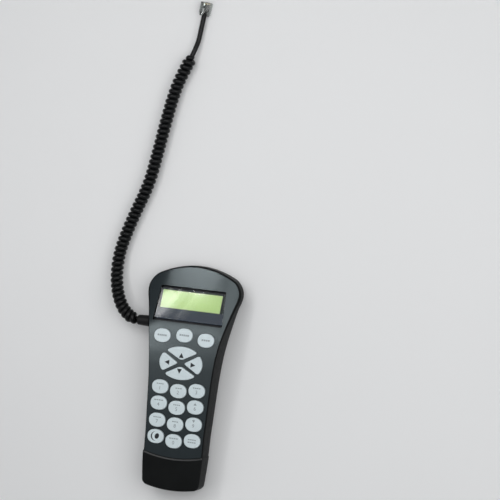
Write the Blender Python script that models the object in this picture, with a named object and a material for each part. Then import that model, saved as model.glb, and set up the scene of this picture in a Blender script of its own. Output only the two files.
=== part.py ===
"""Telescope hand controller: a keypad handset with a tilted display head, nineteen keys and a coiled cord.

The design is drawn in the keypad's own frame, in millimetres: origin at the centre of the direction pad on the
flat keypad face, +X right, +Y towards the display, +Z out of the face.  The flat back slopes by BACK_SLOPE in
that frame, so everything hangs from one empty that turns the back onto z = 0.
"""

import math

import bmesh
import bpy
import numpy as np
from mathutils import Matrix, Vector

for _obj in list(bpy.data.objects):
    bpy.data.objects.remove(_obj, do_unlink=True)

MM = 0.001

# ---- overall shape ----------------------------------------------------------------------------------------------
TILT = math.radians(17.7)  # how far the display head leans back
ARC_Y0, ARC_Y1 = -2.5, 38.0  # the face bends between these stations
ARC_R = (ARC_Y1 - ARC_Y0) / math.sin(TILT)
ARC_DROP = ARC_R * (1 - math.cos(TILT))
BACK_Z, BACK_TURN = -31.0, math.radians(3.0)
BACK_SLOPE = math.tan(BACK_TURN)
Y_BOTTOM, Y_TOP = -115.2, 86.6
HALF_WIDTH = (  # half the body's width at each station
    (-116.0, 26.9), (-110.0, 27.3), (-97.0, 28.2), (-86.05, 28.7), (-85.65, 28.2), (-64.0, 28.3), (-52.0, 28.8),
    (-39.0, 29.3), (-26.0, 29.8), (-14.0, 30.3), (0.0, 31.4), (8.0, 32.2), (17.0, 33.5), (26.0, 35.2), (32.0, 36.6),
    (39.0, 38.3), (46.0, 40.1), (50.0, 41.1), (55.0, 42.0), (60.0, 42.7), (65.0, 43.3), (70.0, 43.8), (75.0, 44.2),
    (78.0, 44.4), (90.0, 44.4),
)
BOW_BOTTOM, BOW_TOP = 0.0050, 0.0072  # the curved lower end and the arched top, in mm per mm squared
WALL, FACE_WALL, HEAD_WALL = 2.0, 2.2, 3.4
OVERLAY_T, OVERLAY_GAP = 0.38, 0.17
LIP = 0.9  # the lower end stands this much above the recessed face
SEAM_Y = -85.85
Y_SHIFT = 13.42  # puts the origin under the middle of the body

# ---- keys -------------------------------------------------------------------------------------------------------
KEY_A, KEY_B = 7.75, 6.3  # half axes of an oval key
KEY_TOP = 1.2
KEY_GAP = 0.4
TOP_KEYS = (("key_top_left", -20.8, 22.6), ("key_top_middle", 0.0, 24.8), ("key_top_right", 20.8, 22.6))
ROWS = ((-22.9, -25.1), (-37.6, -40.1), (-53.1, -55.2), (-67.9, -70.3))
KEY_X = 17.45
PAD_A, PAD_B = 20.4, 14.95

# ---- head frame -------------------------------------------------------------------------------------------------
HEAD_Y = 51.5


def z_face(y):
    if y < ARC_Y0:
        return 0.0
    if y < ARC_Y1:
        return -(ARC_R - math.sqrt(ARC_R**2 - (y - ARC_Y0) ** 2))
    return -ARC_DROP - (y - ARC_Y1) * math.tan(TILT)


def z_back(y):
    return BACK_Z - BACK_SLOPE * y


def smooth(a, b, v):
    t = min(max((v - a) / (b - a), 0.0), 1.0)
    return t * t * (3 - 2 * t)


def z_part(y):
    return z_face(y) - 10.5 + 1.5 * smooth(20, 50, y)


def half_width(y):
    ys = [p[0] for p in HALF_WIDTH]
    ws = [p[1] for p in HALF_WIDTH]
    return float(np.interp(y, ys, ws))


def bowed(x, y):
    return y + BOW_BOTTOM * x * x * (1 - smooth(-78, -56, y)) - BOW_TOP * x * x * smooth(46, 80, y)


def crown(x, y):
    """The head's flanks roll away from the display."""
    h = 2.4 * smooth(20, 50, y)
    return h * max(0.0, (abs(x) - 24.0) / 20.0) ** 2


# ---- small tools ------------------------------------------------------------------------------------------------
def material(name, colour, rough, metal=0.0):
    mat = bpy.data.materials.get(name)
    if mat is None:
        mat = bpy.data.materials.new(name)
        mat.use_nodes = True
        bsdf = mat.node_tree.nodes["Principled BSDF"]
        bsdf.inputs["Base Color"].default_value = (*colour, 1)
        bsdf.inputs["Roughness"].default_value = rough
        bsdf.inputs["Metallic"].default_value = metal
    return mat


BLACK = material("black_plastic", (0.020, 0.021, 0.023), 0.38)
OVERLAY = material("overlay_grey", (0.22, 0.25, 0.27), 0.35)
KEY = material("key_white", (0.72, 0.76, 0.78), 0.45)
CLEAR = material("clear_lens", (0.75, 0.80, 0.80), 0.05)
BEZEL = material("bezel_grey", (0.16, 0.18, 0.21), 0.5)
GREEN = material("lcd_green", (0.62, 0.72, 0.42), 0.2)
DIFFUSER = material("backlight_white", (0.85, 0.88, 0.80), 0.5)
BOARD = material("board_green", (0.03, 0.17, 0.08), 0.45)
CHIP = material("chip_black", (0.025, 0.025, 0.028), 0.5)
SILICONE = material("silicone_grey", (0.42, 0.44, 0.45), 0.65)
STEEL = material("screw_steel", (0.62, 0.62, 0.64), 0.3, 1.0)
GOLD = material("contact_gold", (0.83, 0.62, 0.25), 0.25, 1.0)
NYLON = material("connector_nylon", (0.75, 0.73, 0.66), 0.5)
RUBBER = material("cord_black", (0.014, 0.014, 0.016), 0.42)
LABEL = material("label_silver", (0.55, 0.56, 0.58), 0.4)

pose = bpy.data.objects.new("pose", None)
bpy.context.scene.collection.objects.link(pose)
pose.location = (0, Y_SHIFT * MM, -BACK_Z * math.cos(BACK_TURN) * MM)
pose.rotation_euler = (BACK_TURN, 0, 0)
head = bpy.data.objects.new("head_frame", None)
bpy.context.scene.collection.objects.link(head)
head.parent = pose
head.location = (0, HEAD_Y * MM, z_face(HEAD_Y) * MM)
head.rotation_euler = (-TILT, 0, 0)


def put(name, verts, faces, mat, parent=pose, loc=(0, 0, 0), rot=(0, 0, 0), smooth_angle=None, hide=False):
    mesh = bpy.data.meshes.new(name)
    mesh.from_pydata([(x * MM, y * MM, z * MM) for x, y, z in verts], [], faces)
    bm = bmesh.new()
    bm.from_mesh(mesh)
    bmesh.ops.recalc_face_normals(bm, faces=bm.faces)
    bmesh.ops.triangulate(bm, faces=[f for f in bm.faces if len(f.verts) == 4])
    bm.to_mesh(mesh)
    bm.free()
    if mat:
        mesh.materials.append(mat)
    obj = bpy.data.objects.new(name, mesh)
    bpy.context.scene.collection.objects.link(obj)
    obj.parent = parent
    obj.location = [v * MM for v in loc]
    obj.rotation_euler = rot
    if smooth_angle:
        mesh.shade_smooth()
        mesh.set_sharp_from_angle(angle=math.radians(smooth_angle))
    if hide:
        obj.hide_render = True
        obj.display_type = "WIRE"
    return obj


def stack(rings):
    """One closed body from rings that all have the same number of points."""
    n = len(rings[0])
    verts = [p for ring in rings for p in ring]
    faces = [tuple(reversed(range(n)))]
    for j in range(len(rings) - 1):
        for i in range(n):
            k = (i + 1) % n
            faces.append((j * n + i, j * n + k, (j + 1) * n + k, (j + 1) * n + i))
    faces.append(tuple(range((len(rings) - 1) * n, len(rings) * n)))
    return verts, faces


def joined(parts):
    verts, faces = [], []
    for v, f in parts:
        base = len(verts)
        verts += v
        faces += [tuple(i + base for i in face) for face in f]
    return verts, faces


def box(x0, x1, y0, y1, z0, z1):
    ring = [(x0, y0), (x1, y0), (x1, y1), (x0, y1)]
    return stack([[(x, y, z0) for x, y in ring], [(x, y, z1) for x, y in ring]])


def polygon(points, z0, z1):
    return stack([[(x, y, z0) for x, y in points], [(x, y, z1) for x, y in points]])


def rounded(x0, x1, y0, y1, r, n=3):
    out = []
    for cx, cy, a0 in ((x1 - r, y0 + r, -90), (x1 - r, y1 - r, 0), (x0 + r, y1 - r, 90), (x0 + r, y0 + r, 180)):
        for i in range(n + 1):
            a = math.radians(a0 + 90 * i / n)
            out.append((cx + r * math.cos(a), cy + r * math.sin(a)))
    return out


def trapezoid(y0, y1, w0, w1, r=1.0, n=3):
    """A rounded trapezoid: half width w0 at y0 and w1 at y1."""
    out = []
    for x, y in rounded(-1, 1, y0, y1, r / max(w0, w1), n):
        yy = y
        w = w0 + (w1 - w0) * (yy - y0) / (y1 - y0)
        out.append((x * w, yy))
    corners = []
    for sx, cy, a0, w in ((1, y0, -90, w0), (1, y1, 0, w1), (-1, y1, 90, w1), (-1, y0, 180, w0)):
        inner_y = cy + r if cy == y0 else cy - r
        for i in range(n + 1):
            a = math.radians(a0 + 90 * i / n)
            corners.append((sx * (w - r) + r * math.cos(a), inner_y + r * math.sin(a)))
    return corners


def circle(cx, cy, r, n=16, phase=0.17):
    return [
        (cx + r * math.cos(2 * math.pi * i / n + phase), cy + r * math.sin(2 * math.pi * i / n + phase))
        for i in range(n)
    ]


def tube_z(cx, cy, profile, n=16):
    """A turned piece about Z from (radius, z) pairs, from low to high."""
    return stack([[(x, y, z) for x, y in circle(cx, cy, r, n)] for r, z in profile])


def oval(a, b, grow=0.0, n=16, power=2.25):
    out = []
    for i in range(n):
        t = 2 * math.pi * i / n
        c, s = math.cos(t), math.sin(t)
        out.append(((a + grow) * math.copysign(abs(c) ** (2 / power), c), (b + grow) * math.copysign(abs(s) ** (2 / power), s)))
    return out


def sector_field(kind, x, y):
    """Signed distance, roughly, to one of the four direction keys: below zero inside."""
    if kind in ("down", "left"):
        x, y = -x, -y
    outside = (math.hypot(x / PAD_A, y / PAD_B) - 1) * math.hypot(x, y) / max(math.hypot(x / PAD_A, y / PAD_B), 1e-6)
    outside *= 0.93
    if kind in ("up", "down"):
        k, c, r = 0.53, 2.55, 2.0
        one = -(y - c - k * x) / math.hypot(1, k)
        two = -(y - c + k * x) / math.hypot(1, k)
    else:
        k, c, r = 0.60, 2.6, 1.7
        one = -(k * (x - c) - y) / math.hypot(1, k)
        two = -(k * (x - c) + y) / math.hypot(1, k)
    u = [max(d + r, 0.0) for d in (outside, one, two)]
    return min(max(outside, one, two), -r) + math.sqrt(sum(v * v for v in u))


PAD_CENTRE = {"up": (0.0, 9.3), "down": (0.0, -9.3), "left": (-13.6, 0.0), "right": (13.6, 0.0)}


def sector(kind, grow=0.0, n=20):
    cx, cy = PAD_CENTRE[kind]
    sx, sy = (1.5, 0.65) if kind in ("up", "down") else (0.9, 1.0)
    out = []
    for i in range(n):
        t = 2 * math.pi * (i + 0.5) / n
        dx, dy = math.cos(t) * sx, math.sin(t) * sy
        lo, hi = 0.0, 20.0
        for _ in range(40):
            mid = (lo + hi) / 2
            if sector_field(kind, cx + dx * mid, cy + dy * mid) < grow:
                lo = mid
            else:
                hi = mid
        out.append((cx + dx * lo, cy + dy * lo))
    return out


def ease(r, a):
    """How far a rounded edge of radius r has fallen, a being the distance still left to the flat."""
    a = min(max(a, 0.0), r)
    return r - math.sqrt(max(r * r - a * a, 0.0))


def loft(stations, half, xs_of, z_top, z_bottom):
    """A closed body: at each station a top row and a bottom row over the same x values."""
    verts, faces = [], []
    count = None
    for y in stations:
        h = half(y)
        xs = xs_of(h, y)
        count = len(xs)
        for x in xs:
            yy = bowed(x, y)
            verts.append((x, yy, z_top(x, yy, h, y)))
        for x in xs:
            yy = bowed(x, y)
            verts.append((x, yy, z_bottom(x, yy, h, y)))
    k = count
    for j in range(len(stations) - 1):
        a, b = j * 2 * k, (j + 1) * 2 * k
        for i in range(k - 1):
            faces.append((a + i, a + i + 1, b + i + 1, b + i))
            faces.append((a + k + i, b + k + i, b + k + i + 1, a + k + i + 1))
        faces.append((a, b, b + k, a + k))
        faces.append((a + k - 1, a + 2 * k - 1, b + 2 * k - 1, b + k - 1))
    for base in (0, (len(stations) - 1) * 2 * k):
        for i in range(k - 1):
            faces.append((base + i, base + i + 1, base + k + i + 1, base + k + i))
    return verts, faces


def edge_xs(insets, inner):
    """x values from -h to h: fixed insets near both edges, and inner fractions of what is left."""

    def xs_of(h, _y):
        right = [h - d for d in insets]
        mid = [f * right[-1] for f in inner]
        return [-v for v in right] + [-v for v in mid] + [0.0] + mid[::-1] + right[::-1]

    return xs_of


def corner(y, y_end, sign, r):
    """How much the plan narrows near an end, for a corner radius r."""
    return ease(r, r - sign * (y - y_end))


# ---- front shell ------------------------------------------------------------------------------------------------
EDGE_R = 1.0


def edge_r(y):
    return 1.0 + 0.6 * smooth(15, 50, y) + 0.8 * (1 - smooth(-112, -95, y))


def body_half(y, r_bottom=4.0, r_top=9.0):
    return half_width(y) - corner(y, Y_BOTTOM, 1, r_bottom) - corner(y, Y_TOP, -1, r_top)


def face_drop(x, y, h, yc):
    """Depth of the shell's outer face below the overlay's surface."""
    drop = OVERLAY_T + OVERLAY_GAP - LIP * (1 - smooth(SEAM_Y - 0.2, SEAM_Y + 0.1, yc))
    r = edge_r(yc)
    a = max(r - (h - abs(x)), 0.0)
    end = 2.2 if yc < 0 else 2.0
    b = max(end - (yc - Y_BOTTOM if yc < 0 else Y_TOP - yc), 0.0) * r / end
    return drop + crown(x, y) + ease(r, math.hypot(a, b)) * (1.0 if b <= a else end / r)


FRONT_STATIONS = [Y_BOTTOM + e for e in (0, 0.35, 1.1, 2.2, 4.0, 8.0, 16.0)] + [
    -86.08, -85.62, -79.4, -66, -50, -35, -20.5, -2.5, 4.5, 10.5, 17, 23.5, 28.4, 33.4, 38.6, 46, 52, 58, 64, 70,
] + [Y_TOP - e for e in (10.5, 6.0, 3.5, 2.0, 0.9, 0.25, 0)]
FRONT_XS = edge_xs((0.0, 0.25, 0.8, 1.7, 6.0), (0.8, 0.55, 0.28))

front_shell = put(
    "front_shell",
    *loft(
        FRONT_STATIONS,
        body_half,
        FRONT_XS,
        lambda x, y, h, yc: z_face(y) - face_drop(x, y, h, yc),
        lambda x, y, h, yc: z_part(y) + 0.15,
    ),
    BLACK,
    smooth_angle=32,
)


def face_wall(y):
    return FACE_WALL + (HEAD_WALL - FACE_WALL) * smooth(30, 35, y) * (1 - smooth(70, 76, y))


CAVITY_STATIONS = [Y_BOTTOM + WALL + e for e in (0, 0.8, 2.2, 10)] + [
    -70, -40, -2.5, 8, 19, 30, 35, 42, 50, 58, 66, 70,
] + [Y_TOP - WALL - e for e in (8, 5, 2, 0.5, 0)]


def inner_half(y):
    return (
        half_width(y)
        - WALL
        - corner(y, Y_BOTTOM + WALL, 1, 2.2)
        - corner(y, Y_TOP - WALL, -1, 7.2)
    )


CAVITY_XS = edge_xs((0.0, 1.5, 7.0), (0.7, 0.35))
CASE_SCREWS = ((-19.6, -98.0), (19.6, -98.0), (-38.2, 57.0), (38.2, 57.0))
BOARD_SCREWS = ((-21.2, -45.3), (21.2, -45.3), (-21.2, -12.2), (21.2, -12.2))
BOARD_TOP, BOARD_BOTTOM = -10.6, -12.2


def cut(target, cutter, name):
    mod = target.modifiers.new(name, "BOOLEAN")
    mod.operation = "DIFFERENCE"
    mod.solver = "EXACT"
    mod.object = cutter


def tidy(target, degrees=0.3):
    """Joins the flat faces that the Booleans split."""
    mod = target.modifiers.new("tidy", "DECIMATE")
    mod.decimate_type = "DISSOLVE"
    mod.angle_limit = math.radians(degrees)


front_cavity = put(
    "front_cavity",
    *loft(
        CAVITY_STATIONS,
        inner_half,
        CAVITY_XS,
        lambda x, y, h, yc: z_face(y) - OVERLAY_T - OVERLAY_GAP - crown(x, y) - face_wall(y),
        lambda x, y, h, yc: z_part(y) - 4.0,
    ),
    None,
    hide=True,
)
front_posts = put(
    "front_posts",
    *joined([tube_z(x, y, ((2.7, z_part(y) + 0.15), (2.7, z_face(y) + 3)), 12) for x, y in CASE_SCREWS]),
    None,
    hide=True,
)
cut(front_cavity, front_posts, "posts")
cut(front_shell, front_cavity, "hollow")

# key holes, screw holes and the cord notch in one cutter; the display opening sits in the head frame
hole_parts = [
    joined([]) for _ in ()
]
for _name, kx, ky in TOP_KEYS:
    lean = math.asin((ky - ARC_Y0) / ARC_R)
    zc = z_face(ky)
    turn = Matrix.Rotation(-lean, 3, "X")
    rings = []
    for zz in (-9.0, 4.0):
        rings.append([tuple(Vector((kx, ky, zc)) + turn @ Vector((x, y, zz))) for x, y in oval(KEY_A, KEY_B, KEY_GAP)])
    hole_parts.append(stack(rings))
for side_y, mid_y in ROWS:
    for kx, ky in ((-KEY_X, side_y), (0.0, mid_y), (KEY_X, side_y)):
        hole_parts.append(polygon([(kx + x, ky + y) for x, y in oval(KEY_A, KEY_B, KEY_GAP)], -8, 4))
for kind in PAD_CENTRE:
    hole_parts.append(polygon(sector(kind, KEY_GAP), -8, 4))
key_holes = put("key_holes", *joined(hole_parts), None, hide=True)
cut(front_shell, key_holes, "key_holes")

WINDOW = trapezoid(-16.9, 16.1, 33.1, 31.0, 1.2)
window_hole = put("window_hole", *polygon(WINDOW, -8, 6), None, parent=head, hide=True)
cut(front_shell, window_hole, "window")

BOOT_Y, BOOT_Z = 32.8, -15.3


def along_x(profile, n=16, y0=BOOT_Y, z0=BOOT_Z):
    """A turned piece about X from (radius, x) pairs."""
    return stack([[(x, y0 + a, z0 + b) for a, b in circle(0, 0, r, n)] for r, x in profile])


fastening = [tube_z(x, y, ((1.05, z_part(y) - 2), (1.05, z_part(y) + (4.4 if y > 0 else 6.2))), 10) for x, y in CASE_SCREWS]
front_bores = put("front_bores", *joined(fastening + [along_x(((3.6, -50), (3.6, -31)))]), None, hide=True)
cut(front_shell, front_bores, "bores")
tidy(front_shell)

# ---- rear shell -------------------------------------------------------------------------------------------------
REAR_RX, REAR_RZ = 13.0, 11.0
HEAD_RX, HEAD_RZ = 15.0, 13.0


def rear_raise(x, y, h, yc):
    """How far the back rises towards its rounded long edges and ends."""
    room = z_part(y) - z_back(y)
    head_t = smooth(25, 60, yc)
    rx = REAR_RX + (HEAD_RX - REAR_RX) * head_t
    rz = min(REAR_RZ + (HEAD_RZ - REAR_RZ) * head_t, room - 1.5)
    a = max(rx - (h - abs(x)), 0.0) / rx
    side = rz * (1 - math.sqrt(max(1 - a * a, 0.0)))
    re = 3.4 if yc < 0 else 4.5
    e = yc - Y_BOTTOM if yc < 0 else Y_TOP - yc
    end = ease(re, re - e)
    return max(side, end) if side < 0.5 * rz else min(side + 0.5 * end, max(rz, end))


REAR_STATIONS = [Y_BOTTOM + e for e in (0, 0.5, 1.6, 3.4, 8.0)] + [
    -100, -86.08, -85.62, -70, -50, -25, -2.5, 10, 22, 30, 38, 46, 54, 62, 70,
] + [Y_TOP - e for e in (10.5, 6.0, 4.0, 2.2, 0.9, 0.25, 0)]


def rear_xs(h, yc):
    head_t = smooth(25, 60, yc)
    rx = REAR_RX + (HEAD_RX - REAR_RX) * head_t
    right = [h - rx * (1 - math.sin(math.radians(a))) for a in (90, 72, 54, 36, 18, 0)]
    return [-v for v in right] + [-0.5 * right[-1], 0.0, 0.5 * right[-1]] + right[::-1]


rear_shell = put(
    "rear_shell",
    *loft(
        REAR_STATIONS,
        body_half,
        rear_xs,
        lambda x, y, h, yc: z_part(y) - 0.15,
        lambda x, y, h, yc: z_back(y) + rear_raise(x, y, h, yc),
    ),
    BLACK,
    smooth_angle=32,
)


def rear_inner_xs(h, yc):
    head_t = smooth(25, 60, yc)
    rx = (REAR_RX + (HEAD_RX - REAR_RX) * head_t) - WALL
    right = [h - rx * (1 - math.sin(math.radians(a))) for a in (90, 60, 30, 0)]
    return [-v for v in right] + [0.0] + right[::-1]


def rear_inner_bottom(x, y, h, yc):
    room = z_part(y) - z_back(y)
    head_t = smooth(25, 60, yc)
    rx = (REAR_RX + (HEAD_RX - REAR_RX) * head_t) - WALL
    rz = min(REAR_RZ + (HEAD_RZ - REAR_RZ) * head_t, room - 1.5) - WALL
    a = max(rx - (h - abs(x)), 0.0) / rx
    re, e = 2.0, (yc - Y_BOTTOM - WALL if yc < 0 else Y_TOP - WALL - yc)
    return z_back(y) + WALL + max(rz * (1 - math.sqrt(max(1 - a * a, 0.0))), ease(re, re - e))


rear_cavity = put(
    "rear_cavity",
    *loft(
        [Y_BOTTOM + WALL + e for e in (0, 0.6, 2.2, 10)] + [-70, -40, -2.5, 10, 22, 30, 38, 46, 54, 62, 70]
        + [Y_TOP - WALL - e for e in (8, 5, 2, 0.5, 0)],
        inner_half,
        rear_inner_xs,
        lambda x, y, h, yc: z_part(y) + 4.0,
        rear_inner_bottom,
    ),
    None,
    hide=True,
)
rear_posts = put(
    "rear_posts",
    *joined(
        [tube_z(x, y, ((3.3, z_back(y) - 1), (3.3, z_part(y) - 0.15)), 12) for x, y in CASE_SCREWS]
        + [tube_z(x, y, ((2.4, z_back(y) - 1), (2.4, BOARD_BOTTOM - 0.3)), 12) for x, y in BOARD_SCREWS]
    ),
    None,
    hide=True,
)
cut(rear_cavity, rear_posts, "posts")
cut(rear_shell, rear_cavity, "hollow")

JACK_W, JACK_Z0, JACK_Z1 = 5.7, -21.6, -12.5
LABEL_BOX = (-14.0, 14.0, -62.0, -20.0)
bores = []
for x, y in CASE_SCREWS:
    step = z_part(y) - 3.2
    bores.append(tube_z(x, y, ((2.35, z_back(y) - 2), (2.35, step), (1.3, step), (1.3, z_part(y) + 2)), 12))
for x, y in BOARD_SCREWS:
    bores.append(tube_z(x, y, ((0.95, BOARD_BOTTOM - 6.5), (0.95, BOARD_BOTTOM + 1)), 10))
bores.append(along_x(((3.6, -50), (3.6, -31))))
bores.append(box(-JACK_W - 0.3, JACK_W + 0.3, -125, -110, JACK_Z0 - 0.3, -12.1))
rear_bores = put("rear_bores", *joined(bores), None, hide=True)
cut(rear_shell, rear_bores, "bores")


def on_back(points, lift0, lift1):
    return stack([[(x, y, z_back(y) + lift) for x, y in points] for lift in (lift0, lift1)])


label_recess = put("label_recess", *on_back(rounded(*LABEL_BOX, 2.0), -1.0, 0.75), None, hide=True)
cut(rear_shell, label_recess, "label_recess")
tidy(rear_shell)
lx0, lx1, ly0, ly1 = LABEL_BOX
put("rear_label", *on_back(rounded(lx0 + 0.4, lx1 - 0.4, ly0 + 0.4, ly1 - 0.4, 1.7), 0.15, 0.45), LABEL)

# ---- face overlay -----------------------------------------------------------------------------------------------


def overlay_half(y):
    inset = 0.95 + 0.75 * smooth(25, 55, y)
    return half_width(y) - inset - corner(y, -85.3, 1, 0.8) - corner(y, Y_TOP - 1.45, -1, 7.5)


OVERLAY_STATIONS = [-85.3, -84.9, -84.3, -66, -50, -35, -20.5, -2.5, 4.5, 10.5, 17, 23.5, 28.4, 33.4, 38.6, 46, 52, 58, 64, 70] + [
    Y_TOP - 1.45 - e for e in (8.0, 4.5, 2.0, 0.7, 0)
]
face_overlay = put(
    "face_overlay",
    *loft(
        OVERLAY_STATIONS,
        overlay_half,
        edge_xs((0.0, 3.75), (0.8, 0.55, 0.28)),
        lambda x, y, h, yc: z_face(y) - crown(x, y),
        lambda x, y, h, yc: z_face(y) - crown(x, y) - OVERLAY_T,
    ),
    OVERLAY,
    smooth_angle=30,
)
cut(face_overlay, key_holes, "key_holes")
cut(face_overlay, window_hole, "window")
tidy(face_overlay)

# ---- display stack, in the head frame ---------------------------------------------------------------------------
LENS = trapezoid(-14.1, 14.2, 32.2, 30.6, 1.0)
put("window_lens", *polygon(LENS, -1.9, -0.8), CLEAR, parent=head)
plat = trapezoid(-14.1, 14.2, 32.2, 30.6, 1.0)
flange = rounded(-33.6, 33.6, -18.2, 17.6, 1.0)
bezel = put("lcd_bezel", *joined([polygon(plat, -5.2, -2.1)]), BEZEL, parent=head)
bezel_flange = put("bezel_flange", *polygon(flange, -5.4, -4.75), None, parent=head, hide=True)
union = bezel.modifiers.new("flange", "BOOLEAN")
union.operation, union.solver, union.object = "UNION", "EXACT", bezel_flange
bezel_hole = put("bezel_hole", *polygon(rounded(-29.5, 28.0, -4.1, 12.9, 0.4, 2), -7, 0), None, parent=head, hide=True)
cut(bezel, bezel_hole, "opening")
put("lcd_glass", *box(-29.25, 27.75, -3.85, 12.65, -4.7, -2.5), GREEN, parent=head)
put("lcd_backlight", *polygon(rounded(-30.4, 30.4, -8.0, 14.6, 1.0), -8.3, -5.7), DIFFUSER, parent=head)
put("lcd_board", *polygon(rounded(-30.9, 30.9, -15.0, 16.5, 1.2), -10.2, -8.6), BOARD, parent=head)
put("lcd_header", *box(-20.0, 20.0, -14.0, -11.6, -12.9, -10.5), CHIP, parent=head)

# ---- keypad membrane and main board -----------------------------------------------------------------------------
WEB_Z0, WEB_Z1, BOSS_Z = -10.3, -9.6, -9.0
web = put("keypad_web", *polygon(rounded(-24.2, 24.2, -80.0, 29.0, 4.0), WEB_Z0, WEB_Z1), SILICONE)
bosses = []
for side_y, mid_y in ROWS:
    for kx, ky in ((-KEY_X + 0.6, side_y), (0.0, mid_y), (KEY_X - 0.6, side_y)):
        bosses.append(polygon([(kx + x, ky + y) for x, y in oval(4.0, 3.2, n=10)], WEB_Z0 + 0.2, BOSS_Z))
for cx, cy in ((0, 8.8), (0, -8.8), (-12.4, 0), (12.4, 0)):
    bosses.append(polygon([(cx + x, cy + y) for x, y in oval(3.6, 2.8, n=10)], WEB_Z0 + 0.2, BOSS_Z))
web_bosses = put("web_bosses", *joined(bosses), None, hide=True)
union = web.modifiers.new("bosses", "BOOLEAN")
union.operation, union.solver, union.object = "UNION", "EXACT", web_bosses
web_cut = put(
    "web_cut",
    *joined([tube_z(x, y, ((2.3, -12), (2.3, -8)), 10) for x, y in BOARD_SCREWS]),
    None,
    hide=True,
)
cut(web, web_cut, "clearance")
tidy(web)

board_plan = [
    (-13.0, -101.0), (13.0, -101.0), (14.0, -100.0), (14.0, -91.0), (24.8, -90.0), (25.2, -60.0), (25.6, 27.0),
    (24.0, 28.6), (-24.0, 28.6), (-25.6, 27.0), (-25.2, -60.0), (-24.8, -90.0), (-14.0, -91.0), (-14.0, -100.0),
]
board = put("main_board", *polygon(board_plan, BOARD_BOTTOM, BOARD_TOP), BOARD)
board_cut = put(
    "board_cut",
    *joined([tube_z(x, y, ((1.25, -15), (1.25, -8)), 10) for x, y in BOARD_SCREWS]),
    None,
    hide=True,
)
cut(board, board_cut, "screw_holes")
tidy(board)

UNDER = BOARD_BOTTOM - 0.3
put("microcontroller", *box(-6.0, 6.0, -28.0, -16.0, UNDER - 1.5, UNDER), CHIP)
put("memory_chip", *box(10.0, 17.0, -30.0, -25.0, UNDER - 1.3, UNDER), CHIP)
put("crystal", *polygon(rounded(-16.5, -11.5, -29.5, -18.5, 2.4, 4), UNDER - 3.4, UNDER), STEEL)
put("capacitor", *tube_z(13.0, 4.0, ((2.9, UNDER - 7.6), (3.15, UNDER - 7.2), (3.15, UNDER - 1.0), (2.9, UNDER)), 16), CHIP, smooth_angle=40)
put("regulator", *box(-16.5, -10.0, -3.0, 3.5, UNDER - 2.3, UNDER), CHIP)
put("cord_header", *box(-20.0, -10.0, 19.0, 25.0, UNDER - 6.0, UNDER), NYLON)

# ---- data jack at the lower end -----------------------------------------------------------------------------------
jack = put("data_jack", *box(-JACK_W, JACK_W, -114.6, -101.5, JACK_Z0, JACK_Z1), CHIP)
jack_socket = put(
    "jack_socket",
    *joined([box(-3.95, 3.95, -118, -104.0, -19.9, -13.9)]),
    None,
    hide=True,
)
cut(jack, jack_socket, "socket")
contacts = []
put(
    "jack_contacts",
    *joined([box(-2.6, 2.6, -110.5, -104.3, -14.7, -14.15)]),
    GOLD,
)

# ---- fasteners ----------------------------------------------------------------------------------------------------
for name, (x, y) in zip(("case_screw_lower_left", "case_screw_lower_right", "case_screw_upper_left", "case_screw_upper_right"), CASE_SCREWS):
    zp = z_part(y)
    top = 4.0 if y > 0 else 5.6
    put(
        name,
        *tube_z(x, y, ((1.2, zp - 5.3), (1.95, zp - 4.9), (1.95, zp - 3.5), (0.85, zp - 3.4), (0.85, zp + top - 0.8), (0.3, zp + top)), 12),
        STEEL,
        smooth_angle=35,
    )
for name, (x, y) in zip(("board_screw_lower_left", "board_screw_lower_right", "board_screw_upper_left", "board_screw_upper_right"), BOARD_SCREWS):
    put(
        name,
        *tube_z(x, y, ((0.3, BOARD_BOTTOM - 5.4), (0.75, BOARD_BOTTOM - 4.7), (0.75, BOARD_TOP + 0.25), (1.9, BOARD_TOP + 0.3), (1.9, BOARD_TOP + 1.1), (1.2, BOARD_TOP + 1.5)), 12),
        STEEL,
        smooth_angle=35,
    )

# ---- keys -----------------------------------------------------------------------------------------------------------


def key_rings(outline, cx, cy, stem, flange_top=-3.15, n=16):
    """Rings of one key about its own centre, the overlay's surface being z = 0."""
    pts = outline(0.0)

    def at(scale, z, grow=0.0):
        ring = outline(grow)
        return [((x - cx) * scale, (y - cy) * scale, z) for x, y in ring]

    rings = []
    if stem is not None:
        rings += [at(0.5, stem), at(0.5, flange_top - 0.8)]
    rings += [at(1.0, flange_top - 0.8, 0.6), at(1.0, flange_top, 0.6), at(1.0, flange_top, 0.0)]
    rings += [at(1.0, KEY_TOP - 0.5), at(1.0, KEY_TOP - 0.1, -0.35), at(0.78, KEY_TOP + 0.12, -0.35)]
    assert len(pts) == len(rings[0])
    return stack(rings)


def oval_outline(grow):
    return oval(KEY_A, KEY_B, grow)


key_names = (
    ("key_upper_left", "key_upper_middle", "key_upper_right"),
    ("key_row2_left", "key_row2_middle", "key_row2_right"),
    ("key_row3_left", "key_row3_middle", "key_row3_right"),
    ("key_lower_left", "key_lower_middle", "key_lower_right"),
)
for names, (side_y, mid_y) in zip(key_names, ROWS):
    for name, kx, ky in zip(names, (-KEY_X, 0.0, KEY_X), (side_y, mid_y, side_y)):
        put(name, *key_rings(oval_outline, 0, 0, -7.7), KEY, loc=(kx, ky, 0), smooth_angle=50)
for name, kx, ky in TOP_KEYS:
    lean = math.asin((ky - ARC_Y0) / ARC_R)
    put(name, *key_rings(oval_outline, 0, 0, None, flange_top=-3.25), KEY, loc=(kx, ky, z_face(ky)), rot=(-lean, 0, 0), smooth_angle=50)
for kind, (cx, cy) in PAD_CENTRE.items():

    def pad_outline(grow, kind=kind):
        return sector(kind, grow)

    drop = -4.4 if kind != "down" else -3.9
    put("key_" + kind, *key_rings(pad_outline, cx, cy, -7.2 if kind == "up" else -7.7, flange_top=drop), KEY, loc=(cx, cy, -0.45 if kind == "up" else 0), smooth_angle=50)

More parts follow.
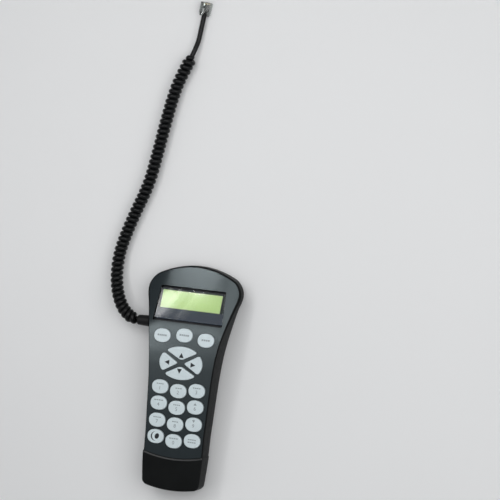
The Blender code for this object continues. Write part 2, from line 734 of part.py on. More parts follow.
# ---- cord -------------------------------------------------------------------------------------------------------------
put(
    "strain_relief",
    *along_x(((3.6, -50.2), (4.6, -49.6), (4.75, -44.5), (5.15, -39.0), (5.15, -38.5), (3.2, -38.4), (3.2, -33.0), (4.6, -32.9), (4.6, -31.5)), 16),
    RUBBER,
    smooth_angle=40,
)


def tube(name, points, radius, mat, res=2, parent=None):
    curve = bpy.data.curves.new(name, "CURVE")
    curve.dimensions = "3D"
    curve.bevel_depth = radius * MM
    curve.bevel_resolution = res
    curve.use_fill_caps = True
    curve.twist_mode = "MINIMUM"
    spline = curve.splines.new("POLY")
    spline.points.add(len(points) - 1)
    for point, (x, y, z) in zip(spline.points, points):
        point.co = (x * MM, y * MM, z * MM, 1)
    spline.use_smooth = True
    curve.materials.append(mat)
    obj = bpy.data.objects.new(name, curve)
    bpy.context.scene.collection.objects.link(obj)
    obj.parent = parent
    return obj


def resample(points, step, closed_tangent=None):
    """A smooth path through the points, resampled at about this step."""
    pts = np.array(points, float)
    seg = np.linalg.norm(np.diff(pts, axis=0), axis=1)
    t = np.concatenate([[0], np.cumsum(seg)])
    fine_t = np.linspace(0, t[-1], 400)
    dt = np.gradient(pts, t, axis=0)
    out = []
    for ft in fine_t:
        i = min(max(int(np.searchsorted(t, ft)) - 1, 0), len(t) - 2)
        h = t[i + 1] - t[i]
        u = (ft - t[i]) / h
        a, b, c, d = 2 * u**3 - 3 * u**2 + 1, u**3 - 2 * u**2 + u, -2 * u**3 + 3 * u**2, u**3 - u**2
        out.append(a * pts[i] + b * h * dt[i] + c * pts[i + 1] + d * h * dt[i + 1])
    out = np.array(out)
    s = np.concatenate([[0], np.cumsum(np.linalg.norm(np.diff(out, axis=0), axis=1))])
    n = max(int(round(s[-1] / step)), 2)
    want = np.linspace(0, s[-1], n + 1)
    return [tuple(float(np.interp(w, s, out[:, k])) for k in range(3)) for w in want], float(s[-1])


tube(
    "inner_lead",
    resample([(-31.1, BOOT_Y, BOOT_Z), (-28.3, 32.2, -15.4), (-25.6, 28.6, -15.5), (-24.2, 25.0, -15.5), (-22.8, 22.3, -15.5), (-20.8, 22.1, -15.5)], 3.2)[0],
    1.5,
    RUBBER,
    parent=pose,
)

CORD_R, LEAD_R = 6.0, 2.2
# the cord's path over the table: x, y and height of its centre line, before Y_SHIFT
CORD_PATH = (
    (-51.7, 33.55, 17.2), (-56.1, 34.5, 17.0), (-61.3, 37.4, 16.3), (-66.0, 41.3, 15.3), (-70.1, 46.5, 14.0),
    (-73.4, 52.3, 12.5), (-76.1, 58.7, 10.9), (-78.2, 66.3, 9.3), (-79.6, 75.2, 7.8), (-79.9, 85.0, 6.8),
    (-79.0, 94.0, 6.4), (-75.6, 108.0, 6.3), (-71.2, 122.3, 6.3), (-66.1, 136.6, 6.3), (-60.9, 151.0, 6.3),
    (-57.2, 165.0, 6.3), (-54.7, 179.0, 6.3), (-52.4, 193.0, 6.3), (-50.2, 207.0, 6.3), (-47.9, 220.7, 6.3),
    (-45.4, 234.0, 6.3), (-41.4, 250.0, 6.3), (-35.8, 264.5, 6.3), (-31.2, 275.5, 6.3),
)
LEAD_PATH = (
    (-30.6, 276.9, 6.3), (-29.0, 283.0, 5.2), (-27.6, 290.0, 3.6), (-26.6, 298.0, 3.3), (-25.6, 306.0, 3.5), (-24.8, 313.0, 3.7),
)
coil_points, COIL_LENGTH = resample([(x, y + Y_SHIFT, z) for x, y, z in CORD_PATH], 7.5)
tube("curly_cord", coil_points, CORD_R, RUBBER, res=4)
lead_points, LEAD_LENGTH = resample([(x, y + Y_SHIFT, z) for x, y, z in LEAD_PATH], 4.0)
tube("cord_lead", lead_points, LEAD_R, RUBBER, res=2)

# plug: its own frame at the centre of its rear face, +Y the way it is pushed in
plug_yaw = math.atan2(-(LEAD_PATH[-1][0] - LEAD_PATH[-2][0]), LEAD_PATH[-1][1] - LEAD_PATH[-2][1])
plug_dir = Vector((-math.sin(plug_yaw), math.cos(plug_yaw), 0))
plug_at = Vector((LEAD_PATH[-1][0], LEAD_PATH[-1][1] + Y_SHIFT, 3.7)) + plug_dir * 0.3
plug_frame = bpy.data.objects.new("plug_frame", None)
bpy.context.scene.collection.objects.link(plug_frame)
plug_frame.location = plug_at * MM
plug_frame.rotation_euler = (0, 0, plug_yaw)
put("modular_plug", *joined([stack([[(x, 0.0, z) for x, z in rounded(-3.9, 3.9, -2.6, 2.3, 0.6, 2)], [(x, 2.0, z) for x, z in rounded(-4.8, 4.8, -3.3, 2.9, 0.4, 2)], [(x, 12.3, z) for x, z in rounded(-4.8, 4.8, -3.3, 2.9, 0.4, 2)]])]), CLEAR, parent=plug_frame)
LATCH_REST = math.radians(11.0)
put(
    "plug_latch",
    *joined([box(-1.6, 1.6, -11.6, -0.35, 0.0, 0.9)]),
    CLEAR,
    parent=plug_frame,
    loc=(0, 12.2, 3.25),
    rot=(-LATCH_REST, 0, 0),
)
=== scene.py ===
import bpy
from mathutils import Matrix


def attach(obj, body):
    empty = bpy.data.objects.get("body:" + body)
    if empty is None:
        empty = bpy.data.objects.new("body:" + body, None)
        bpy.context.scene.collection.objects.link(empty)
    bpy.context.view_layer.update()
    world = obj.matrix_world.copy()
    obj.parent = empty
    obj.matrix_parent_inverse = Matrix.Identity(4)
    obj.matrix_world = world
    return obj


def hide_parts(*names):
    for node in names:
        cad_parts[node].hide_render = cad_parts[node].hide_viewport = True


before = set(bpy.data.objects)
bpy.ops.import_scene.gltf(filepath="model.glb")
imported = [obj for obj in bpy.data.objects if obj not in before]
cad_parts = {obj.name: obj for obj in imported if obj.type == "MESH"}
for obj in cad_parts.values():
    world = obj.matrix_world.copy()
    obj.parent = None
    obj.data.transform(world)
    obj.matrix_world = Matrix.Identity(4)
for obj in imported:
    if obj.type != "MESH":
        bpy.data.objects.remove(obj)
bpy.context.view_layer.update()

import math

import bmesh
import bpy
import numpy as np
from mathutils import Matrix, Vector

scene = bpy.context.scene
scene.view_settings.view_transform = "Standard"
scene.view_settings.look = "None"

MM = 0.001

# ---- the design's own measures, in millimetres in the keypad's frame ---------------------------------------------------
TILT = math.radians(17.7)
ARC_Y0, ARC_Y1 = -2.5, 38.0
ARC_R = (ARC_Y1 - ARC_Y0) / math.sin(TILT)
ARC_DROP = ARC_R * (1 - math.cos(TILT))
BACK_Z, BACK_TURN = -31.0, math.radians(3.0)
BACK_SLOPE = math.tan(BACK_TURN)
Y_BOTTOM, Y_TOP = -115.2, 86.6
HALF_WIDTH = (
    (-116.0, 26.9), (-110.0, 27.3), (-97.0, 28.2), (-86.05, 28.7), (-85.65, 28.2), (-64.0, 28.3), (-52.0, 28.8),
    (-39.0, 29.3), (-26.0, 29.8), (-14.0, 30.3), (0.0, 31.4), (8.0, 32.2), (17.0, 33.5), (26.0, 35.2), (32.0, 36.6),
    (39.0, 38.3), (46.0, 40.1), (50.0, 41.1), (55.0, 42.0), (60.0, 42.7), (65.0, 43.3), (70.0, 43.8), (75.0, 44.2),
    (78.0, 44.4), (90.0, 44.4),
)
BOW_BOTTOM, BOW_TOP = 0.0050, 0.0072
WALL, FACE_WALL, HEAD_WALL = 2.0, 2.2, 3.4
OVERLAY_T, OVERLAY_GAP = 0.38, 0.17
LIP = 0.9
SEAM_Y = -85.85
Y_SHIFT = 13.42
KEY_A, KEY_B = 7.75, 6.3
KEY_TOP = 1.2
KEY_GAP = 0.4
TOP_KEYS = (("key_top_left", -20.8, 22.6), ("key_top_middle", 0.0, 24.8), ("key_top_right", 20.8, 22.6))
ROWS = ((-22.9, -25.1), (-37.6, -40.1), (-53.1, -55.2), (-67.9, -70.3))
KEY_X = 17.45
PAD_A, PAD_B = 20.4, 14.95
HEAD_Y = 51.5
CASE_SCREWS = ((-19.6, -98.0), (19.6, -98.0), (-38.2, 57.0), (38.2, 57.0))
BOOT_Y, BOOT_Z = 32.8, -15.3
JACK_W, JACK_Z0, JACK_Z1 = 5.7, -21.6, -12.5
LABEL_BOX = (-14.0, 14.0, -62.0, -20.0)
PAD_CENTRE = {"up": (0.0, 9.3), "down": (0.0, -9.3), "left": (-13.6, 0.0), "right": (13.6, 0.0)}


def z_face(y):
    if y < ARC_Y0:
        return 0.0
    if y < ARC_Y1:
        return -(ARC_R - math.sqrt(ARC_R**2 - (y - ARC_Y0) ** 2))
    return -ARC_DROP - (y - ARC_Y1) * math.tan(TILT)


def z_back(y):
    return BACK_Z - BACK_SLOPE * y


def smooth(a, b, v):
    t = min(max((v - a) / (b - a), 0.0), 1.0)
    return t * t * (3 - 2 * t)


def z_part(y):
    return z_face(y) - 10.5 + 1.5 * smooth(20, 50, y)


_WIDTH_Y = np.array([p[0] for p in HALF_WIDTH])
_WIDTH_V = np.array([p[1] for p in HALF_WIDTH])


def half_width(y):
    """The table's half widths, eased over a few millimetres so that the flanks have no kinks, except at the seam."""
    if y < -84.0:
        return float(np.interp(y, _WIDTH_Y, _WIDTH_V))
    span = np.array([-3.0, -1.8, -0.9, 0.0, 0.9, 1.8, 3.0])
    weight = np.array([1.0, 2.0, 3.0, 3.5, 3.0, 2.0, 1.0])
    ys = np.maximum(y + span * min(1.0, (y + 85.6) / 3.0), -85.6)
    return min(float((np.interp(ys, _WIDTH_Y, _WIDTH_V) * weight).sum() / weight.sum()), 44.26)


def bowed(x, y):
    return y + BOW_BOTTOM * x * x * (1 - smooth(-78, -56, y)) - BOW_TOP * x * x * smooth(46, 80, y)


def crown(x, y):
    return 2.4 * smooth(20, 50, y) * max(0.0, (abs(x) - 24.0) / 20.0) ** 2


def ease(r, a):
    a = min(max(a, 0.0), r)
    return r - math.sqrt(max(r * r - a * a, 0.0))


def corner(y, y_end, sign, r):
    return ease(r, r - sign * (y - y_end))


FACE = Matrix.Translation((0, Y_SHIFT * MM, -BACK_Z * math.cos(BACK_TURN) * MM)) @ Matrix.Rotation(BACK_TURN, 4, "X") @ Matrix.Scale(MM, 4)
turn_matrix = Matrix.Rotation(-BACK_TURN, 3, "X")
HEAD = FACE @ Matrix.Translation((0, HEAD_Y, z_face(HEAD_Y))) @ Matrix.Rotation(-TILT, 4, "X")
TABLE_FRAME = Matrix.Translation((0, Y_SHIFT * MM, 0)) @ Matrix.Scale(MM, 4)


# ---- procedural materials ----------------------------------------------------------------------------------------------
def nodes_of(name):
    mat = bpy.data.materials.new(name)
    mat.use_nodes = True
    tree = mat.node_tree
    return mat, tree, tree.nodes["Principled BSDF"]


def add(tree, kind, x=0, y=0, **sets):
    node = tree.nodes.new(kind)
    node.location = (x, y)
    for key, value in sets.items():
        if hasattr(node, key):
            setattr(node, key, value)
        else:
            node.inputs[key].default_value = value
    return node


def noise(tree, coord, scale, detail=3.0, rough=0.5, stretch=None):
    node = add(tree, "ShaderNodeTexNoise")
    node.inputs["Scale"].default_value = scale
    node.inputs["Detail"].default_value = detail
    node.inputs["Roughness"].default_value = rough
    if stretch:
        mapping = add(tree, "ShaderNodeMapping")
        mapping.inputs["Scale"].default_value = stretch
        tree.links.new(coord, mapping.inputs["Vector"])
        coord = mapping.outputs["Vector"]
    tree.links.new(coord, node.inputs["Vector"])
    return node.outputs["Fac"]


def ramp(tree, fac, low, high, at=(0.3, 0.7)):
    node = add(tree, "ShaderNodeValToRGB")
    node.color_ramp.elements[0].position, node.color_ramp.elements[1].position = at
    node.color_ramp.elements[0].color = (*low, 1)
    node.color_ramp.elements[1].color = (*high, 1)
    tree.links.new(fac, node.inputs["Fac"])
    return node.outputs["Color"]


def spread(tree, fac, low, high, span=(0.3, 0.7)):
    node = add(tree, "ShaderNodeMapRange")
    node.inputs["From Min"].default_value, node.inputs["From Max"].default_value = span
    node.inputs["To Min"].default_value, node.inputs["To Max"].default_value = low, high
    tree.links.new(fac, node.inputs["Value"])
    return node.outputs["Result"]


def bump(tree, height, distance, normal=None, strength=1.0):
    node = add(tree, "ShaderNodeBump")
    node.inputs["Distance"].default_value = distance
    node.inputs["Strength"].default_value = strength
    tree.links.new(height, node.inputs["Height"])
    if normal is not None:
        tree.links.new(normal, node.inputs["Normal"])
    return node.outputs["Normal"]


def surface(name, colour, rough, vary=0.10, patch=70.0, rough_vary=0.06, grain=1800.0, depth=0.000006, scuff=0.0, specular=0.5,
            metallic=0.0, coat=0.0, coat_rough=0.2, sheen=0.0, stretch=None, wear=None, tint=(1.0, 1.0, 1.0)):
    """A moulded or coated surface: broad colour drift, patchy gloss, and a fine grain that catches the light."""
    mat, tree, bsdf = nodes_of(name)
    coord = add(tree, "ShaderNodeTexCoord").outputs["Object"]
    broad = noise(tree, coord, patch, 3.0, 0.55)
    low = tuple(c * (1 - vary) for c in colour)
    high = tuple(c * (1 + vary) for c in colour)
    base = ramp(tree, broad, low, high)
    fine = noise(tree, coord, grain, 2.0, 0.5, stretch)
    gloss = noise(tree, coord, patch * 4.3, 4.0, 0.6)
    if wear is not None:
        geometry = add(tree, "ShaderNodeNewGeometry")
        edge = spread(tree, geometry.outputs["Pointiness"], 0.0, 0.7, (0.515, 0.56))
        mix = add(tree, "ShaderNodeMix", data_type="RGBA")
        tree.links.new(edge, mix.inputs[0])
        tree.links.new(base, mix.inputs[6])
        mix.inputs[7].default_value = (*wear, 1)
        base = mix.outputs[2]
    tree.links.new(base, bsdf.inputs["Base Color"])
    tree.links.new(spread(tree, gloss, rough - rough_vary, rough + rough_vary), bsdf.inputs["Roughness"])
    normal = bump(tree, fine, depth)
    if scuff:
        lines = noise(tree, coord, 260.0, 6.0, 0.7, (1.0, 9.0, 3.0))
        normal = bump(tree, spread(tree, lines, 0.0, 1.0, (0.58, 0.75)), scuff, normal)
    tree.links.new(normal, bsdf.inputs["Normal"])
    bsdf.inputs["Specular IOR Level"].default_value = specular
    bsdf.inputs["Metallic"].default_value = metallic
    bsdf.inputs["Coat Weight"].default_value = coat
    bsdf.inputs["Coat Roughness"].default_value = coat_rough
    bsdf.inputs["Sheen Weight"].default_value = sheen
    bsdf.inputs["Specular Tint"].default_value = (*tint, 1)
    return mat


BLACK = surface("moulded_black", (0.0092, 0.0100, 0.0102), 0.36, grain=2600.0, depth=0.000011, rough_vary=0.05, specular=0.045, scuff=0.0000015)
# lighter, glossier copy of moulded_black for the lip along the seam: the gloss is real, the lighter base colour is a
# painted highlight
BLACK_SEAM_HIGHLIGHT = surface("moulded_black_seam_highlight", (0.0150, 0.0160, 0.0165), 0.34, grain=2600.0, depth=0.000008, rough_vary=0.05, specular=0.33)
OVERLAY = surface("printed_overlay", (0.0135, 0.0185, 0.0215), 0.175, vary=0.07, patch=45.0, grain=5200.0, depth=0.0000010, rough_vary=0.02, specular=0.62,
                  tint=(0.84, 0.97, 1.0))
KEYCAP = surface("key_silicone", (0.66, 0.75, 0.78), 0.42, vary=0.035, patch=160.0, grain=3800.0, depth=0.000004, rough_vary=0.05, specular=0.42)
LEGEND = surface("key_print", (0.020, 0.022, 0.026), 0.50, vary=0.12, patch=600.0, grain=5000.0, depth=0.000002, specular=0.25)
LEGEND_PALE = surface("key_print_grey", (0.285, 0.325, 0.345), 0.48, vary=0.12, patch=600.0, grain=5000.0, depth=0.000002, specular=0.3)
# dark teal for the margins at the top and sides of the display opening: painted shade from the window's recess
BEZEL_SHADE = surface("bezel_recess_shade", (0.026, 0.037, 0.038), 0.5, vary=0.06, patch=90.0, grain=3500.0, depth=0.000004, specular=0.1)
BEZEL = surface("bezel_grey", (0.0794, 0.1014, 0.1367), 0.46, vary=0.06, patch=90.0, grain=3500.0, depth=0.000004, specular=0.12)
# near-black for the flange that shows in the grooves round the window: painted shade for the grooves' depth
GROOVE_SHADE = surface("bezel_groove_shade", (0.010, 0.012, 0.016), 0.60, grain=3000.0, depth=0.000006)
CORD = surface("cord_jacket", (0.0058, 0.0063, 0.0068), 0.30, vary=0.14, patch=240.0, rough_vary=0.07, grain=1500.0, depth=0.000010, specular=0.20)
BOOT = surface("boot_rubber", (0.0070, 0.0072, 0.0078), 0.46, vary=0.10, patch=180.0, grain=2400.0, depth=0.000012, specular=0.22)
SILICONE = surface("membrane_silicone", (0.30, 0.32, 0.33), 0.62, vary=0.05, patch=90.0)
CHIP = surface("package_black", (0.016, 0.016, 0.018), 0.52, vary=0.12, patch=300.0, grain=4000.0, depth=0.000012)
NYLON = surface("connector_nylon", (0.62, 0.58, 0.48), 0.48, vary=0.05, patch=200.0)
STEEL = surface("plated_steel", (0.55, 0.56, 0.58), 0.30, vary=0.10, patch=500.0, grain=2600.0, depth=0.000006, metallic=1.0, stretch=(1, 1, 6))
GOLD = surface("contact_gold", (0.78, 0.52, 0.19), 0.24, vary=0.08, patch=700.0, grain=3000.0, depth=0.000003, metallic=1.0)
LABEL = surface("label_film", (0.40, 0.41, 0.43), 0.38, vary=0.04, patch=120.0, grain=2600.0, depth=0.000004, rough_vary=0.05, stretch=(1, 14, 1))
DIFFUSER = surface("diffuser_white", (0.74, 0.77, 0.70), 0.5, vary=0.03, patch=90.0)
CORE = surface("socket_black", (0.012, 0.012, 0.013), 0.45, vary=0.12, patch=300.0, grain=3000.0, depth=0.000010)


def board_material():
    mat, tree, bsdf = nodes_of("solder_mask")
    coord = add(tree, "ShaderNodeTexCoord").outputs["Object"]
    tracks = add(tree, "ShaderNodeTexBrick")
    tracks.inputs["Scale"].default_value = 190.0
    tracks.inputs["Mortar Size"].default_value = 0.06
    tracks.inputs["Color1"].default_value = (0.010, 0.085, 0.036, 1)
    tracks.inputs["Color2"].default_value = (0.014, 0.100, 0.044, 1)
    tracks.inputs["Mortar"].default_value = (0.030, 0.150, 0.070, 1)
    tree.links.new(coord, tracks.inputs["Vector"])
    tree.links.new(tracks.outputs["Color"], bsdf.inputs["Base Color"])
    tree.links.new(spread(tree, noise(tree, coord, 300.0), 0.28, 0.42), bsdf.inputs["Roughness"])
    tree.links.new(bump(tree, tracks.outputs["Fac"], 0.00003), bsdf.inputs["Normal"])
    return mat


def lcd_material():
    """The display's reflective film: pale green, with the faint cells of a two-line character display."""
    mat, tree, bsdf = nodes_of("display_film")
    uv = add(tree, "ShaderNodeTexCoord").outputs["UV"]
    cells = add(tree, "ShaderNodeTexBrick", offset=0.0, squash=1.0)
    cells.inputs["Scale"].default_value = 1.0
    cells.inputs["Brick Width"].default_value = 3.55
    cells.inputs["Row Height"].default_value = 7.4
    cells.inputs["Mortar Size"].default_value = 0.32
    cells.inputs["Mortar Smooth"].default_value = 0.2
    cells.inputs["Color1"].default_value = (0.655, 0.905, 0.335, 1)
    cells.inputs["Color2"].default_value = (0.655, 0.905, 0.335, 1)
    cells.inputs["Mortar"].default_value = (0.675, 0.925, 0.360, 1)
    tree.links.new(uv, cells.inputs["Vector"])
    drift = noise(tree, uv, 0.05, 2.0)
    tint = ramp(tree, drift, (0.94, 0.95, 0.93), (1.0, 1.0, 1.0))
    mix = add(tree, "ShaderNodeMix", data_type="RGBA", blend_type="MULTIPLY")
    mix.inputs[0].default_value = 1.0
    tree.links.new(cells.outputs["Color"], mix.inputs[6])
    tree.links.new(tint, mix.inputs[7])
    tree.links.new(mix.outputs[2], bsdf.inputs["Base Color"])
    tree.links.new(spread(tree, noise(tree, uv, 2.0), 0.07, 0.10), bsdf.inputs["Roughness"])
    bsdf.inputs["Specular IOR Level"].default_value = 1.0
    bsdf.inputs["Emission Color"].default_value = (0.66, 0.74, 0.50, 1)
    bsdf.inputs["Emission Strength"].default_value = 0.11
    return mat


def clear_material(name, tint, rough, amount, vary=0.02):
    """Thin clear plastic: lets light and sight through, and mirrors what is in front of it."""
    mat = bpy.data.materials.new(name)
    mat.use_nodes = True
    tree = mat.node_tree
    tree.nodes.remove(tree.nodes["Principled BSDF"])
    out = tree.nodes["Material Output"]
    coord = add(tree, "ShaderNodeTexCoord").outputs["Object"]
    through = add(tree, "ShaderNodeBsdfTransparent")
    through.inputs["Color"].default_value = (*tint, 1)
    mirror = add(tree, "ShaderNodeBsdfGlossy")
    mirror.inputs["Color"].default_value = (1, 1, 1, 1)
    tree.links.new(spread(tree, noise(tree, coord, 220.0, 4.0), rough, rough + vary), mirror.inputs["Roughness"])
    fresnel = add(tree, "ShaderNodeFresnel")
    fresnel.inputs["IOR"].default_value = amount
    mix = add(tree, "ShaderNodeMixShader")
    tree.links.new(fresnel.outputs["Fac"], mix.inputs["Fac"])
    tree.links.new(through.outputs["BSDF"], mix.inputs[1])
    tree.links.new(mirror.outputs["BSDF"], mix.inputs[2])
    tree.links.new(mix.outputs["Shader"], out.inputs["Surface"])
    return mat


PCB = board_material()
LCD = lcd_material()
LENS_MAT = clear_material("window_clear", (1.0, 1.0, 1.0), 0.035, 1.80, 0.008)


def see_through(name, tint):
    """The window's underside and rim, which let sight through at every angle."""
    mat = bpy.data.materials.new(name)
    mat.use_nodes = True
    tree = mat.node_tree
    tree.nodes.remove(tree.nodes["Principled BSDF"])
    through = add(tree, "ShaderNodeBsdfTransparent")
    through.inputs["Color"].default_value = (*tint, 1)
    tree.links.new(through.outputs["BSDF"], tree.nodes["Material Output"].inputs["Surface"])
    return mat


LENS_INNER = see_through("window_underside", (1.0, 1.0, 1.0))
PLUG_MAT = clear_material("plug_clear", (0.86, 0.88, 0.87), 0.06, 1.58)


# ---- mesh tools ----------------------------------------------------------------------------------------------------------
def raw(name, verts, faces, mat=None, matrix=FACE, flip_check=True):
    mesh = bpy.data.meshes.new(name)
    mesh.from_pydata([tuple(matrix @ Vector(v)) for v in verts], [], faces)
    if flip_check:
        bm = bmesh.new()
        bm.from_mesh(mesh)
        bmesh.ops.recalc_face_normals(bm, faces=bm.faces)
        bm.to_mesh(mesh)
        bm.free()
    if mat:
        mesh.materials.append(mat)
    obj = bpy.data.objects.new(name, mesh)
    scene.collection.objects.link(obj)
    return obj


def shade(obj, angle=32.0):
    obj.data.shade_smooth()
    obj.data.set_sharp_from_angle(angle=math.radians(angle))
    return obj


def cut(target, cutter, operation="DIFFERENCE"):
    mod = target.modifiers.new("cut", "BOOLEAN")
    mod.operation, mod.solver, mod.object = operation, "EXACT", cutter


def bake(target, *helpers):
    """Applies the modifiers and drops the cutters."""
    bpy.context.view_layer.update()
    graph = bpy.context.evaluated_depsgraph_get()
    mesh = bpy.data.meshes.new_from_object(target.evaluated_get(graph))
    old = target.data
    target.modifiers.clear()
    target.data = mesh
    bpy.data.meshes.remove(old)
    for helper in helpers:
        if helper.name in bpy.data.objects:
            bpy.data.objects.remove(helper)
    return target


def done(obj, body, nodes=()):
    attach(obj, body)
    if nodes:
        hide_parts(*nodes)
    return obj


def stack(rings, caps=True):
    n = len(rings[0])
    verts = [p for ring in rings for p in ring]
    faces = [tuple(reversed(range(n)))] if caps else []
    for j in range(len(rings) - 1):
        for i in range(n):
            k = (i + 1) % n
            faces.append((j * n + i, j * n + k, (j + 1) * n + k, (j + 1) * n + i))
    if caps:
        faces.append(tuple(range((len(rings) - 1) * n, len(rings) * n)))
    return verts, faces


def joined(parts):
    verts, faces = [], []
    for v, f in parts:
        base = len(verts)
        verts += v
        faces += [tuple(i + base for i in face) for face in f]
    return verts, faces


def box(x0, x1, y0, y1, z0, z1):
    ring = [(x0, y0), (x1, y0), (x1, y1), (x0, y1)]
    return stack([[(x, y, z0) for x, y in ring], [(x, y, z1) for x, y in ring]])


def polygon(points, z0, z1):
    return stack([[(x, y, z0) for x, y in points], [(x, y, z1) for x, y in points]])


def inset_outline(points, d):
    """The outline moved inwards by d, for a convex or gently curved outline."""
    p = np.array(points, float)
    before, after = np.roll(p, 1, axis=0), np.roll(p, -1, axis=0)
    t = after - before
    n = np.stack([-t[:, 1], t[:, 0]], axis=1)
    n /= np.maximum(np.linalg.norm(n, axis=1, keepdims=True), 1e-9)
    area = 0.5 * np.sum(p[:, 0] * after[:, 1] - after[:, 0] * p[:, 1])
    return [tuple(q) for q in p + n * d * (1 if area > 0 else -1)]


def plate(points, z0, z1, edge=0.2, steps=3):
    """A flat plate whose top edge is rounded."""
    rings = [[(x, y, z0) for x, y in points]]
    for i in range(steps + 1):
        a = math.radians(90 * i / steps)
        ring = inset_outline(points, edge * (1 - math.cos(a)))
        rings.append([(x, y, z1 - edge + edge * math.sin(a)) for x, y in ring])
    return stack(rings)


def rounded(x0, x1, y0, y1, r, n=6):
    out = []
    for cx, cy, a0 in ((x1 - r, y0 + r, -90), (x1 - r, y1 - r, 0), (x0 + r, y1 - r, 90), (x0 + r, y0 + r, 180)):
        for i in range(n + 1):
            a = math.radians(a0 + 90 * i / n)
            out.append((cx + r * math.cos(a), cy + r * math.sin(a)))
    return out


def trapezoid(y0, y1, w0, w1, r=1.0, n=8):
    corners = []
    for sx, cy, a0, w in ((1, y0, -90, w0), (1, y1, 0, w1), (-1, y1, 90, w1), (-1, y0, 180, w0)):
        inner_y = cy + r if cy == y0 else cy - r
        for i in range(n + 1):
            a = math.radians(a0 + 90 * i / n)
            corners.append((sx * (w - r) + r * math.cos(a), inner_y + r * math.sin(a)))
    return corners


def circle(cx, cy, r, n=32, phase=0.17):
    return [(cx + r * math.cos(2 * math.pi * i / n + phase), cy + r * math.sin(2 * math.pi * i / n + phase)) for i in range(n)]


def tube_z(cx, cy, profile, n=32):
    return stack([[(x, y, z) for x, y in circle(cx, cy, r, n)] for r, z in profile])


def oval(a, b, grow=0.0, n=72, power=2.25):
    out = []
    for i in range(n):
        t = 2 * math.pi * i / n
        c, s = math.cos(t), math.sin(t)
        out.append(((a + grow) * math.copysign(abs(c) ** (2 / power), c), (b + grow) * math.copysign(abs(s) ** (2 / power), s)))
    return out


def sector_field(kind, x, y):
    if kind in ("down", "left"):
        x, y = -x, -y
    reach = max(math.hypot(x / PAD_A, y / PAD_B), 1e-6)
    outside = (reach - 1) * math.hypot(x, y) / reach * 0.93
    if kind in ("up", "down"):
        k, c, r = 0.53, 2.55, 2.0
        one = -(y - c - k * x) / math.hypot(1, k)
        two = -(y - c + k * x) / math.hypot(1, k)
    else:
        k, c, r = 0.60, 2.6, 1.7
        one = -(k * (x - c) - y) / math.hypot(1, k)
        two = -(k * (x - c) + y) / math.hypot(1, k)
    u = [max(d + r, 0.0) for d in (outside, one, two)]
    return min(max(outside, one, two), -r) + math.sqrt(sum(v * v for v in u))


def sector(kind, grow=0.0, n=84):
    cx, cy = PAD_CENTRE[kind]
    sx, sy = (1.5, 0.65) if kind in ("up", "down") else (0.9, 1.0)
    out = []
    for i in range(n):
        t = 2 * math.pi * (i + 0.5) / n
        dx, dy = math.cos(t) * sx, math.sin(t) * sy
        lo, hi = 0.0, 20.0
        for _ in range(32):
            mid = (lo + hi) / 2
            if sector_field(kind, cx + dx * mid, cy + dy * mid) < grow:
                lo = mid
            else:
                hi = mid
        out.append((cx + dx * lo, cy + dy * lo))
    return out


def loft(stations, half, xs_of, z_top, z_bottom):
    verts, faces = [], []
    k = None
    for y in stations:
        h = half(y)
        xs = xs_of(h, y)
        k = len(xs)
        row = [(x, bowed(x, y)) for x in xs]
        verts += [(x, yy, z_top(x, yy, h, y)) for x, yy in row]
        verts += [(x, yy, z_bottom(x, yy, h, y)) for x, yy in row]
    for j in range(len(stations) - 1):
        a, b = j * 2 * k, (j + 1) * 2 * k
        for i in range(k - 1):
            faces.append((a + i, a + i + 1, b + i + 1, b + i))
            faces.append((a + k + i, b + k + i, b + k + i + 1, a + k + i + 1))
        faces.append((a, b, b + k, a + k))
        faces.append((a + k - 1, a + 2 * k - 1, b + 2 * k - 1, b + k - 1))
    for base in (0, (len(stations) - 1) * 2 * k):
        for i in range(k - 1):
            faces.append((base + i, base + i + 1, base + k + i + 1, base + k + i))
    return verts, faces


def edge_xs(insets, inner):
    def xs_of(h, _y):
        right = [h - d for d in insets]
        mid = [f * right[-1] for f in inner]
        return [-v for v in right] + [-v for v in mid] + [0.0] + mid[::-1] + right[::-1]

    return xs_of


def body_half(y, r_bottom=4.0, r_top=9.0):
    return half_width(y) - corner(y, Y_BOTTOM, 1, r_bottom) - corner(y, Y_TOP, -1, r_top)


def stations_between(y0, y1, step):
    n = max(int(round((y1 - y0) / step)), 1)
    return [y0 + (y1 - y0) * i / n for i in range(n)]


def sweep(points, radius, sides=12, start=None):
    """A round tube along points, its rings carried along without twist."""
    p = np.array(points, float)
    r = np.broadcast_to(np.asarray(radius, float), (len(p),))
    t = np.gradient(p, axis=0)
    t /= np.linalg.norm(t, axis=1, keepdims=True)
    n = np.cross(t[0], start if start is not None else (0.0, 0.0, 1.0))
    if np.linalg.norm(n) < 1e-3:
        n = np.cross(t[0], (1.0, 0.0, 0.0))
    n /= np.linalg.norm(n)
    angles = 2 * np.pi * np.arange(sides) / sides
    verts = []
    for i in range(len(p)):
        n = n - t[i] * np.dot(n, t[i])
        n /= np.linalg.norm(n)
        b = np.cross(t[i], n)
        ring = p[i] + r[i] * (np.cos(angles)[:, None] * n + np.sin(angles)[:, None] * b)
        verts += [tuple(v) for v in ring]
    faces = [tuple(reversed(range(sides)))]
    for j in range(len(p) - 1):
        for i in range(sides):
            k = (i + 1) % sides
            faces.append((j * sides + i, j * sides + k, (j + 1) * sides + k, (j + 1) * sides + i))
    faces.append(tuple(range((len(p) - 1) * sides, len(p) * sides)))
    return verts, faces


